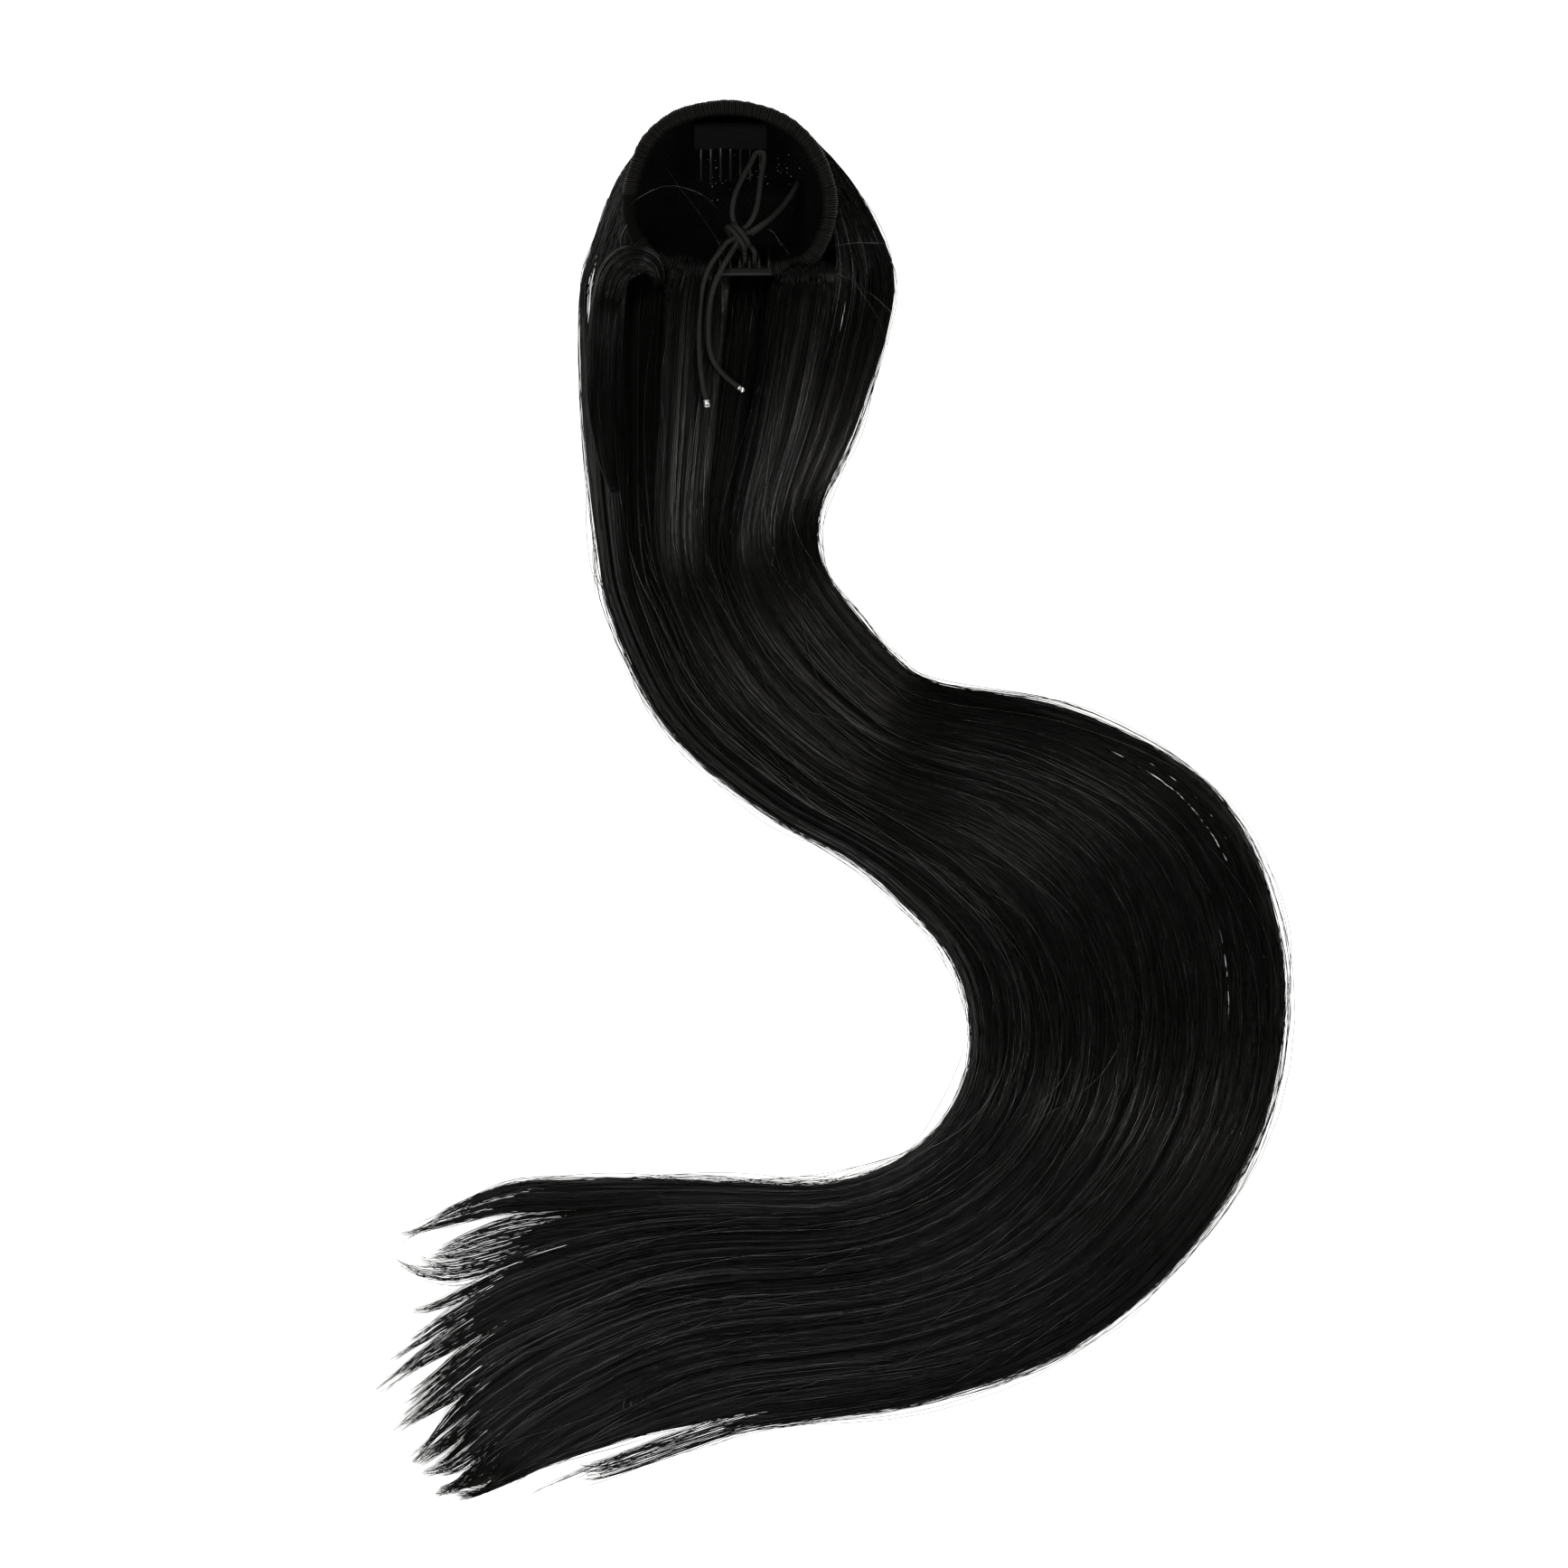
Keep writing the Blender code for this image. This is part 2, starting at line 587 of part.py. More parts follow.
def make_cap_space():
    """A guide that takes the cap, with a little clearance, out of the hair round it."""
    rings = []
    for step in range(1, CAP_SPACE_RINGS + 1):
        share = (step / CAP_SPACE_RINGS) ** BOWL_RING_POWER
        rings.append(bowl_ring(share, bowl_height(share) - HAIR_CLEARANCE, HAIR_CLEARANCE))
    for raised in (BOWL_TOP - HAIR_CLEARANCE - CAP_SPACE_RIM, CAP_SPACE_TOP):
        outer = rim_curve(BOWL_SIDES + 1, -HAIR_CLEARANCE)[:-1]
        rings.append([(*point, raised) for point in outer])
    points = [point for ring in rings for point in ring]
    guide = mesh_object("cap_space", points, loft_faces(len(rings), BOWL_SIDES), hair_material)
    guide.hide_render = True
    guide.display_type = "WIRE"
    return guide


# Combs

def top_comb_place(x, depth, rise):
    """A point of the back comb: along the rim, down the slope of its teeth, and out of its plane."""
    down, up = math.cos(TOP_COMB_TILT), math.sin(TOP_COMB_TILT)
    return (
        TOP_COMB_X + x,
        TOP_COMB_Y - depth * down - rise * up,
        TOP_COMB_Z - depth * up + rise * down,
    )


def make_top_comb(material):
    """Flat comb with a thicker spine, its teeth sloping down into the bowl."""
    half = TOP_SPINE_LENGTH / 2
    tooth_half = COMB_THICKNESS / 2
    spine_half = TOP_SPINE_HEIGHT / 2
    rows = []
    for tooth in range(TOP_COMB_TEETH):
        x = (tooth - (TOP_COMB_TEETH - 1) / 2) * TOP_COMB_PITCH
        rows.append((x - TOP_TOOTH_WIDTH / 2, x + TOP_TOOTH_WIDTH / 2))
    cuts = [-half] + [edge for row in rows for edge in row] + [half]
    points = []
    for x in cuts:
        for depth in (TOP_SPINE_NEAR, TOP_SPINE_FAR):
            for rise in (-spine_half, -tooth_half, tooth_half, spine_half):
                points.append(top_comb_place(x, depth, rise))
    faces = []
    for column in range(len(cuts) - 1):
        here, ahead = 8 * column, 8 * (column + 1)
        for low, high in ((0, 1), (1, 2), (2, 3)):
            faces.append((here + low, here + high, ahead + high, ahead + low))
            if not (low == 1 and column % 2 == 1):
                faces.append((here + 4 + low, here + 4 + high, ahead + 4 + high, ahead + 4 + low))
        faces.append((here, here + 4, ahead + 4, ahead))
        faces.append((here + 3, here + 7, ahead + 7, ahead + 3))
    for end in (0, 8 * (len(cuts) - 1)):
        faces.append((end, end + 1, end + 2, end + 3, end + 7, end + 6, end + 5, end + 4))
    for tooth, (low_x, high_x) in enumerate(rows):
        root = 8 * (1 + 2 * tooth)
        middle = (low_x + high_x) / 2
        tip = len(points)
        for x, rise in ((-1, -1), (-1, 1), (1, 1), (1, -1)):
            x *= TOP_TOOTH_TIP / 2
            rise *= TOP_TOOTH_TIP / 2
            points.append(top_comb_place(middle + x, TOP_TOOTH_END, rise))
        base = (root + 5, root + 6, root + 14, root + 13)
        for side in range(4):
            following = (side + 1) % 4
            faces.append((base[side], base[following], tip + following, tip + side))
        faces.append((tip, tip + 1, tip + 2, tip + 3))
    return mesh_object("comb_top", points, faces, material, 30)


def make_sleeve(material):
    """Cloth folded over the back comb's spine, open on the side of the teeth."""
    outer = SLEEVE_HEIGHT / 2
    inner = outer - SLEEVE_WALL
    profile = (
        (SLEEVE_FOLD_DEPTH, -outer),
        (SLEEVE_DEPTH, -outer),
        (SLEEVE_DEPTH, -inner),
        (SLEEVE_WALL, -inner),
        (SLEEVE_WALL, inner),
        (SLEEVE_DEPTH, inner),
        (SLEEVE_DEPTH, outer),
        (SLEEVE_FOLD_DEPTH, outer),
        (0.0, outer * SLEEVE_FOLD_SHARE),
        (0.0, -outer * SLEEVE_FOLD_SHARE),
    )
    points = []
    for x in (-SLEEVE_LENGTH / 2, SLEEVE_LENGTH / 2):
        for depth, rise in profile:
            points.append(top_comb_place(x, depth, rise))
    return mesh_object("comb_top_sleeve", points, loft_faces(2, len(profile)), material, 30)


def make_front_comb(material):
    """Comb over the front of the rim, its teeth bent down inside the bowl."""
    half = FRONT_SPINE_LENGTH / 2
    low_z = FRONT_SPINE_Z - FRONT_SPINE_HEIGHT / 2
    high_z = FRONT_SPINE_Z + FRONT_SPINE_HEIGHT / 2
    back_y = FRONT_SPINE_Y - FRONT_SPINE_WIDTH / 2
    front_y = FRONT_SPINE_Y + FRONT_SPINE_WIDTH / 2
    rows = []
    for tooth in range(FRONT_COMB_TEETH):
        x = (tooth - (FRONT_COMB_TEETH - 1) / 2) * FRONT_COMB_PITCH
        rows.append((x - FRONT_TOOTH_WIDTH / 2, x + FRONT_TOOTH_WIDTH / 2))
    cuts = [-half] + [edge for row in rows for edge in row] + [half]
    points = []
    for x in cuts:
        for y, z in ((back_y, low_z), (back_y, high_z), (front_y, high_z), (front_y, low_z)):
            points.append((FRONT_COMB_X + x, y, z))
    faces = []
    for column in range(len(cuts) - 1):
        here, ahead = 4 * column, 4 * (column + 1)
        for side in range(4):
            following = (side + 1) % 4
            if not (side == 2 and column % 2 == 1):
                faces.append((here + side, here + following, ahead + following, ahead + side))
    for end in (0, 4 * (len(cuts) - 1)):
        faces.append((end, end + 1, end + 2, end + 3))
    for tooth, (low_x, high_x) in enumerate(rows):
        root = 4 * (1 + 2 * tooth)
        middle = FRONT_COMB_X + (low_x + high_x) / 2
        base = (root + 2, root + 3, root + 7, root + 6)
        for y, z, half_width in FRONT_TOOTH_STEPS:
            start = len(points)
            upper_z = z + half_width * FRONT_TOOTH_RISE_SHARE
            points.append((middle - half_width, y + half_width, upper_z))
            points.append((middle - half_width, y - half_width, z - half_width))
            points.append((middle + half_width, y - half_width, z - half_width))
            points.append((middle + half_width, y + half_width, upper_z))
            ring = (start, start + 1, start + 2, start + 3)
            for side in range(4):
                following = (side + 1) % 4
                faces.append((base[side], base[following], ring[following], ring[side]))
            base = ring
        faces.append(base)
    return mesh_object("comb_front", points, faces, material, 30)


# Drawstring

def make_knot(material):
    """The bow's knot as a rounded lump with a shallow waist where the wraps cross."""
    bpy.ops.mesh.primitive_uv_sphere_add(segments=16, ring_count=10, radius=0.5)
    knot = bpy.context.active_object
    knot.name = "drawstring_knot"
    for corner in knot.data.vertices:
        waist = 1 - KNOT_WAIST_SHARE * math.exp(-(corner.co.x / KNOT_WAIST_WIDTH) ** 2)
        corner.co.y *= KNOT_SIZE[1] * waist
        corner.co.z *= KNOT_SIZE[2] * waist
        corner.co.x *= KNOT_SIZE[0]
        corner.co *= MM
    knot.location = [value * MM for value in KNOT_CENTRE]
    knot.data.shade_smooth()
    knot.data.materials.append(material)
    return knot


def make_cord_tip(name, route, material):
    """The metal crimp on a cord's end, in line with its last stretch."""
    points = spaced_points(route, 60)
    heading = points[-1] - points[-2]
    heading /= np.linalg.norm(heading)
    start = points[-1] + heading * FIT_GAP
    return tube_object(name, (start, start + heading * TIP_LENGTH), TIP_RADIUS, material)


hair_material = new_material("hair", (0.012, 0.010, 0.009), 0.38)
net_material = new_material("net", (0.010, 0.010, 0.011), 0.85)
casing_material = new_material("elastic cloth", (0.014, 0.013, 0.013), 0.8)
sleeve_material = new_material("sleeve cloth", (0.012, 0.012, 0.013), 0.75)
comb_material = new_material("comb plastic", (0.008, 0.008, 0.009), 0.25)
cord_material = new_material("cord", (0.016, 0.015, 0.015), 0.7)
tip_material = new_material("crimped metal", (0.42, 0.42, 0.44), 0.3, 1.0)

cap_space = make_cap_space()
cut_away(make_hair_back(hair_material), cap_space)
for front_layer in FRONT_LAYERS:
    cut_away(make_front_layer(front_layer, hair_material), cap_space)
make_curl(hair_material)
make_bowl(net_material)
make_casing(casing_material)
make_top_comb(comb_material)
make_sleeve(sleeve_material)
make_front_comb(comb_material)

rim_route = [(*point, CASING_Z) for point in CASING_LINE]
ring_points = [*reversed(spaced_points(LEFT_ROOT, 5)[1:]), *rim_route, *spaced_points(RIGHT_ROOT, 5)[1:]]
tube_object("drawstring_ring", ring_points, CORD_RADIUS, cord_material)
cord_object("drawstring_loop_tall", TALL_LOOP, cord_material)
cord_object("drawstring_loop_short", SHORT_LOOP, cord_material)
cord_object("drawstring_tail_left", LEFT_TAIL, cord_material)
cord_object("drawstring_tail_right", RIGHT_TAIL, cord_material)
make_knot(cord_material)
make_cord_tip("cord_tip_left", LEFT_TAIL, tip_material)
make_cord_tip("cord_tip_right", RIGHT_TAIL, tip_material)
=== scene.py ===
"""Ponytail hairpiece lying on its outer side: a drawstring cap with its hollow up, and straight
hair that leaves the cap at the top of the picture and runs in an S to loose tips at the lower left.

Sizes are in millimetres, in the row frame, and are turned into metres where a mesh is made.
"""

import math

import bpy
import numpy as np
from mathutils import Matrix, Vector


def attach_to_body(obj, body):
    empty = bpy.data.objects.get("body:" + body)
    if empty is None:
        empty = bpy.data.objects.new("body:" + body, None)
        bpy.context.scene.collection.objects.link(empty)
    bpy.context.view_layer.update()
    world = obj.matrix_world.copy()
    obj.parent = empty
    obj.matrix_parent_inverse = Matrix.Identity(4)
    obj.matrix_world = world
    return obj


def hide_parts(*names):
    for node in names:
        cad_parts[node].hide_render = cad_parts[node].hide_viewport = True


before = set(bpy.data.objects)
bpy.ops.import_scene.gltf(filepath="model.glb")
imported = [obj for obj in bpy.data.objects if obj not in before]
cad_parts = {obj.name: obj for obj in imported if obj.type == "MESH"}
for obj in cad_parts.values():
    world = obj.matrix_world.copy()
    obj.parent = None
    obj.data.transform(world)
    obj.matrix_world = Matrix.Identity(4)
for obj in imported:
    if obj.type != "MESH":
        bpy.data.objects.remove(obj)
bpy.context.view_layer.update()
bpy.ops.object.select_all(action="DESELECT")

# Camera. It looks straight down from far off through a long lens, so the whole length of the
# hairpiece is seen square on. The picture is 598.6 mm wide, with its top towards +Y.
picture_width = 0.5986
camera_height = 12.0
bpy.ops.object.camera_add(location=(-0.01742, 0.00707, camera_height), rotation=(0, 0, 0))
camera = bpy.context.active_object
camera.data.sensor_width = 36.0
camera.data.lens = 36.0 * camera_height / picture_width
camera.data.clip_start = 0.1
camera.data.clip_end = 60.0
bpy.context.scene.camera = camera
bpy.context.scene.view_settings.view_transform = "Standard"

# Floor and light. A plain white sweep under six soft lamps, exposed so that the floor is white
# and only the sheen of the black hair shows.
bpy.ops.mesh.primitive_plane_add(size=40.0, location=(0, 0, -0.0004))
floor = bpy.context.active_object
floor.name = "floor"
floor_material = bpy.data.materials.new("white sweep")
floor_material.use_nodes = True
floor_shader = floor_material.node_tree.nodes["Principled BSDF"]
floor_shader.inputs["Base Color"].default_value = (0.9, 0.9, 0.9, 1.0)
floor_shader.inputs["Roughness"].default_value = 0.9
floor_shader.inputs["Specular IOR Level"].default_value = 0.1
floor_shader.inputs["Emission Color"].default_value = (1.0, 1.0, 1.0, 1.0)
floor_shader.inputs["Emission Strength"].default_value = 0.95
floor.data.materials.append(floor_material)

room = bpy.data.worlds.new("studio")
room.use_nodes = True
room.node_tree.nodes["Background"].inputs["Color"].default_value = (0.95, 0.97, 1.0, 1.0)
room.node_tree.nodes["Background"].inputs["Strength"].default_value = 0.03
bpy.context.scene.world = room


def soft_lamp(name, place, aim, size, watts, colour=(1.0, 0.97, 0.9)):
    bpy.ops.object.light_add(type="AREA", location=place)
    lamp = bpy.context.active_object
    lamp.name = name
    lamp.data.shape = "RECTANGLE"
    lamp.data.size, lamp.data.size_y = size
    lamp.data.energy = watts
    lamp.data.color = colour
    lamp.rotation_euler = (Vector(aim) - Vector(place)).to_track_quat("-Z", "Y").to_euler()
    return lamp


soft_lamp("lamp_below", (0.1, -1.0, 2.1), (0.0, 0.0, 0.0), (0.5, 0.5), 13, (0.94, 0.97, 1.0))
soft_lamp("lamp_upper_right", (1.1, 1.1, 1.6), (0.0, 0.0, 0.0), (0.7, 0.7), 8)
soft_lamp("lamp_upper_left", (-1.15, 1.0, 1.6), (0.0, 0.0, 0.0), (0.7, 0.7), 15)
soft_lamp("lamp_low", (-0.3, -2.1, 0.9), (0.0, 0.1, 0.0), (0.5, 0.4), 8)
soft_lamp("lamp_right", (1.5, -0.8, 1.4), (0.0, 0.15, 0.0), (0.4, 0.6), 8)
soft_lamp("lamp_left", (-1.5, -0.7, 1.4), (0.0, 0.15, 0.0), (0.4, 0.6), 4)

# Drawstring. One round braided elastic cord, 2.1 mm thick, runs through the rim casing, comes
# out at its front mouth and is tied in a bow: two loops that lie over the hollow of the cap and
# two tails over the hair, each with a crimped metal end.
MM = 0.001
cord_radius = 1.03


class Value:
    """A number that varies over a surface: an output socket that can be multiplied."""

    def __init__(self, maker, socket):
        self.maker = maker
        self.socket = socket

    def __mul__(self, other):
        return self.maker.maths("MULTIPLY", self, other)


class Finish:
    """One node material: its shader's constants, and the nodes that feed its varying sockets."""

    def __init__(self, name, **constants):
        self.material = bpy.data.materials.new(name)
        self.material.use_nodes = True
        self.tree = self.material.node_tree
        self.shader = self.tree.nodes["Principled BSDF"]
        for socket, value in constants.items():
            self.shader.inputs[socket.replace("_", " ")].default_value = value

    def node(self, kind, settings=None, stops=None, **sockets):
        made = self.tree.nodes.new(kind)
        for setting, value in (settings or {}).items():
            setattr(made, setting, value)
        if stops:
            ramp = made.color_ramp
            while len(ramp.elements) < len(stops):
                ramp.elements.new(1.0)
            for element, (place, colour) in zip(ramp.elements, stops):
                element.position = place
                element.color = (*colour, 1.0) if len(colour) == 3 else colour
        for socket, value in sockets.items():
            name = socket.replace("_", " ")
            entry = made.inputs[int(name[1:])] if name[1:].isdigit() else made.inputs[name]
            self.feed(entry, value)
        return made

    def feed(self, entry, value):
        if isinstance(value, Value):
            self.tree.links.new(value.socket, entry)
        else:
            entry.default_value = value

    def maths(self, operation, *terms):
        made = self.node("ShaderNodeMath", {"operation": operation})
        for entry, term in zip(made.inputs, terms):
            self.feed(entry, term)
        return Value(self, made.outputs[0])

    def output(self, made, name=0):
        return Value(self, made.outputs[name])

    def places(self, kind="Object"):
        return self.output(self.node("ShaderNodeTexCoord"), kind)

    def noise(self, coordinates, scale, detail=3.0, roughness=0.5):
        settings = {"Scale": scale, "Detail": detail, "Roughness": roughness}
        return self.output(self.node("ShaderNodeTexNoise", Vector=coordinates, **settings), "Fac")

    def split(self, coordinates):
        made = self.node("ShaderNodeSeparateXYZ", Vector=coordinates)
        return [self.output(made, axis) for axis in "XYZ"]

    def between(self, share, low, high):
        """A colour from low to high by a share."""
        made = self.node("ShaderNodeValToRGB", stops=((0.0, low), (1.0, high)), Fac=share)
        return self.output(made, "Color")

    def remap(self, value, low, high, new_low, new_high):
        sockets = {"From_Min": low, "From_Max": high, "To_Min": new_low, "To_Max": new_high}
        return self.output(self.node("ShaderNodeMapRange", Value=value, **sockets), "Result")

    def relief(self, height, strength, distance):
        made = self.node("ShaderNodeBump", Strength=strength, Distance=distance, Height=height)
        self.set(Normal=self.output(made, "Normal"))

    def set(self, **sockets):
        for socket, value in sockets.items():
            self.feed(self.shader.inputs[socket.replace("_", " ")], value)

    def mottled(self, scale, dark, light):
        """The base colour wanders finely between two colours."""
        self.set(Base_Color=self.between(self.noise(self.places(), scale), dark, light))

    def grained(self, scale, strength, distance, detail=3.0, roughness=0.5):
        """A fine grain stands out of the surface."""
        self.relief(self.noise(self.places(), scale, detail, roughness), strength, distance)


def joined_mesh(name, points, faces, finish):
    """One object from all the points, in millimetres, and groups of faces with as many corners."""
    mesh = bpy.data.meshes.new(name)
    counts = np.concatenate([np.full(len(group), group.shape[1], np.int32) for group in faces])
    corners = np.concatenate([np.asarray(group, np.int32).ravel() for group in faces])
    mesh.vertices.add(len(points))
    mesh.vertices.foreach_set("co", (np.asarray(points, np.float32) * MM).ravel())
    mesh.loops.add(len(corners))
    mesh.loops.foreach_set("vertex_index", corners)
    mesh.polygons.add(len(counts))
    loop_starts = np.concatenate([[0], np.cumsum(counts)[:-1]]).astype(np.int32)
    mesh.polygons.foreach_set("loop_start", loop_starts)
    mesh.update(calc_edges=True)
    mesh.validate()
    mesh.shade_smooth()
    mesh.materials.append(finish.material)
    made = bpy.data.objects.new(name, mesh)
    bpy.context.scene.collection.objects.link(made)
    return made


def attach(piece, slot, *nodes):
    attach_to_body(piece, "root")
    if nodes:
        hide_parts(*nodes)
    return piece


def curve_rows(rows, places):
    """Values at many places, counted in rows, on the smooth curve through all the rows."""
    rows = np.asarray(rows, float)
    padded = np.vstack([2 * rows[:1] - rows[1:2], rows, 2 * rows[-1:] - rows[-2:-1]])
    first = np.clip(np.floor(places).astype(int), 0, len(rows) - 2)
    share = (np.asarray(places, float) - first)[..., None]
    before, here, ahead, beyond = (padded[first + step] for step in range(4))
    bend = 2 * before - 5 * here + 4 * ahead - beyond
    twist = 3 * here - before - 3 * ahead + beyond
    return here + 0.5 * ((ahead - before) * share + bend * share**2 + twist * share**3)


def even_route(rows, count):
    """Points at equal lengths along the smooth curve through a few rows."""
    fine = curve_rows(rows, np.linspace(0, len(rows) - 1, 60 * len(rows)))
    run = np.concatenate([[0.0], np.cumsum(np.linalg.norm(np.diff(fine[:, :3], axis=0), axis=1))])
    wanted = np.linspace(0, run[-1], count)
    return np.stack([np.interp(wanted, run, column) for column in fine.T], axis=1)


def at_heights(plan, heights):
    """Points from plan positions and their heights."""
    return np.concatenate([plan, heights[..., None]], axis=-1)


def ring_walls(starts, sides, other_way=False):
    """Faces from each ring of points, given by its first point, to the ring that follows it."""
    corner = np.arange(sides)
    here = starts[:, None] + corner
    beside = starts[:, None] + (corner + 1) % sides
    walls = np.stack([here, here + sides, beside + sides, beside], axis=2).reshape(-1, 4)
    return walls[:, [0, 3, 2, 1]] if other_way else walls


def tube_rings(routes, radii, sides, sideways=None, relief=None):
    """Points and faces of closed round tubes along many routes at once.

    routes is (tubes, steps, 3) and radii (tubes, steps). sideways fixes the direction across
    routes that climb steeply, and relief gives a factor for each ring corner.
    """
    tubes, steps = routes.shape[:2]
    along = np.gradient(routes, axis=1)
    along /= np.maximum(np.linalg.norm(along, axis=2, keepdims=True), 1e-9)
    across = np.broadcast_to(np.array((0.0, 0.0, 1.0)) if sideways is None else sideways, routes.shape)
    aside = np.cross(along, across) if sideways is None else across
    aside = aside / np.maximum(np.linalg.norm(aside, axis=2, keepdims=True), 1e-6)
    above = np.cross(aside, along)
    turns = np.arange(sides) * 2 * math.pi / sides
    ring = (
        aside[:, :, None] * np.cos(turns)[:, None] + above[:, :, None] * np.sin(turns)[:, None]
    ) * radii[:, :, None, None]
    if relief is not None:
        ring = ring * relief[..., None]
    points = (routes[:, :, None] + ring).reshape(-1, 3)
    starts = (np.arange(tubes)[:, None] * steps + np.arange(steps - 1)).ravel() * sides
    first = np.arange(tubes)[:, None] * steps * sides + np.arange(sides)
    last = first + (steps - 1) * sides
    return points, [ring_walls(starts, sides), np.vstack([first, last[:, ::-1]])]


def stack_meshes(parts):
    """Several lots of points and faces as one lot."""
    points, groups, offset = [], {}, 0
    for part_points, part_faces in parts:
        points.append(part_points)
        for group in part_faces:
            groups.setdefault(group.shape[1], []).append(group + offset)
        offset += len(part_points)
    return np.vstack(points), [np.vstack(group) for group in groups.values()]


def braided_tube(route, spacing=0.28, sides=18):
    """A round cord with the crossed ribs of its braid and the groove along its upper side."""
    length = np.linalg.norm(np.diff(route, axis=0), axis=1).sum()
    steps = int(length / spacing)
    line = even_route(route, steps)
    run = np.linspace(0, length, steps)[:, None]
    turn = np.arange(sides) * 2 * math.pi / sides
    strands = 3
    twist = 2.1
    groove_width = 0.32
    one_way = np.abs(np.sin(strands * turn + twist * run))
    other_way = np.abs(np.sin(strands * turn - twist * run))
    crossing = np.maximum(one_way, other_way)
    groove = np.exp(-(((turn - math.pi / 2) / groove_width) ** 2))
    relief = 0.93 + 0.07 * crossing - 0.13 * groove
    points, faces = tube_rings(line[None], np.full((1, steps), cord_radius), sides, relief=relief[None])
    return line, points, faces


braid = Finish("black braided elastic", Roughness=0.65, Specular_IOR_Level=0.2)
braid.mottled(900.0, (0.007, 0.0068, 0.0062), (0.022, 0.0214, 0.0200))
braid.grained(2600.0, 0.35, 0.0002)

# Each route runs through points read off the photograph, at guessed heights.
left_root = ((-36.0, 203.1, 36.5), (-33.4, 203.8, 36.6), (-32.4, 205.9, 36.8), (-32.4, 209.0, 37.2),
             (-33.3, 211.1, 37.6))
right_root = ((-25.0, 203.1, 36.5), (-27.6, 203.8, 36.6), (-28.7, 205.9, 36.8), (-28.6, 209.4, 37.2),
              (-30.7, 212.2, 37.6))
tall_loop = ((-35.9, 219.9, 38.6), (-36.9, 222.6, 39.4), (-37.0, 226.6, 39.3), (-35.7, 232.2, 37.6),
             (-32.9, 238.4, 34.2), (-29.9, 243.8, 30.8), (-28.2, 247.2, 28.9), (-26.4, 248.3, 28.4),
             (-25.1, 246.8, 28.9), (-25.3, 243.2, 30.6), (-26.2, 238.0, 33.6), (-26.9, 232.0, 36.6),
             (-27.8, 226.6, 38.6), (-29.3, 222.4, 39.4), (-31.4, 219.4, 39.0))
short_loop = ((-30.2, 217.1, 39.4), (-27.0, 219.2, 40.0), (-23.5, 221.6, 38.2), (-20.2, 224.7, 34.4),
              (-17.2, 228.1, 30.0), (-14.6, 231.8, 26.0), (-12.8, 234.7, 23.4), (-12.0, 235.9, 21.3),
              (-12.9, 234.4, 20.1), (-15.4, 230.6, 22.2), (-18.4, 226.7, 26.2), (-21.6, 223.2, 30.6),
              (-24.8, 220.2, 34.2), (-27.4, 218.2, 35.9), (-30.1, 216.4, 36.4))
left_tail = ((-39.2, 213.1, 39.7), (-41.7, 209.6, 40.9), (-44.8, 205.4, 41.1), (-47.3, 200.0, 39.9),
             (-48.9, 192.5, 38.2), (-49.7, 180.0, 37.6), (-49.4, 168.0, 37.7), (-48.3, 159.0, 36.6),
             (-47.1, 153.6, 35.9))
right_tail = ((-36.1, 211.5, 40.2), (-38.6, 207.4, 42.7), (-41.6, 202.2, 43.3), (-44.2, 196.0, 41.4),
              (-45.7, 189.0, 39.8), (-46.2, 181.0, 39.1), (-45.9, 173.4, 38.3), (-43.8, 167.2, 37.2),
              (-39.4, 162.0, 32.8), (-35.1, 158.6, 30.6))
cord_pieces = {}
cord_lines = {}
for name, route in (
    ("loop_tall", tall_loop),
    ("loop_short", short_loop),
    ("tail_left", left_tail),
    ("tail_right", right_tail),
):
    cord_lines[name], points, faces = braided_tube(np.array(route))
    cord_pieces[name] = joined_mesh("cord_" + name, points, faces, braid)
    attach(cord_pieces[name], "cord", "drawstring_" + name)

# The knot: the four ends and the two roots run into it, and two turns of cord close over them.
knot_centre = np.array((-34.8, 215.4, 38.2))
inside_knot = (
    (left_tail[0], (-37.2, 214.3, 39.9), (-34.4, 215.6, 40.3), (-31.9, 216.6, 39.9), short_loop[0]),
    (right_tail[0], (-34.9, 213.6, 39.9), (-34.7, 216.2, 39.6), (-35.3, 218.4, 39.0), tall_loop[0]),
    (left_root[-1], (-34.2, 213.0, 37.6), (-34.0, 215.5, 37.2), (-32.2, 216.6, 36.6), short_loop[-1]),
    (right_root[-1], (-32.4, 214.0, 38.0), (-33.2, 216.2, 38.4), (-32.6, 218.4, 38.8), tall_loop[-1]),
)
knot_parts = []
knot_sides = 14
knot_steps = 30
for route in inside_knot:
    line = even_route(np.array(route), knot_steps)
    knot_parts.append(tube_rings(line[None], np.full((1, knot_steps), cord_radius * 0.98), knot_sides))
turn_steps = 41
turn_angle = np.linspace(0, 2 * math.pi, turn_steps)
# Each turn over the knot: its shift across it, its half length and its rise.
for shift, reach, rise in ((-1.1, 5.4, 3.4), (1.0, 4.9, 3.7)):
    lengthways = np.array((0.6, -0.8, 0.0))
    sideways = np.array((0.8, 0.6, 0.0))
    line = (
        knot_centre
        + sideways * shift
        + lengthways * (reach * np.cos(turn_angle))[:, None]
        + np.array((0.0, 0.0, 1.0)) * (rise * np.sin(turn_angle) + 0.4)[:, None]
        + sideways * (0.9 * np.sin(turn_angle))[:, None]
    )
    turn_radii = np.full((1, turn_steps), cord_radius)
    knot_parts.append(tube_rings(line[None], turn_radii, knot_sides, sideways=sideways))
points, faces = stack_meshes(knot_parts)
knot = joined_mesh("cord_knot", points, faces, braid)
attach(knot, "cord", "drawstring_knot")

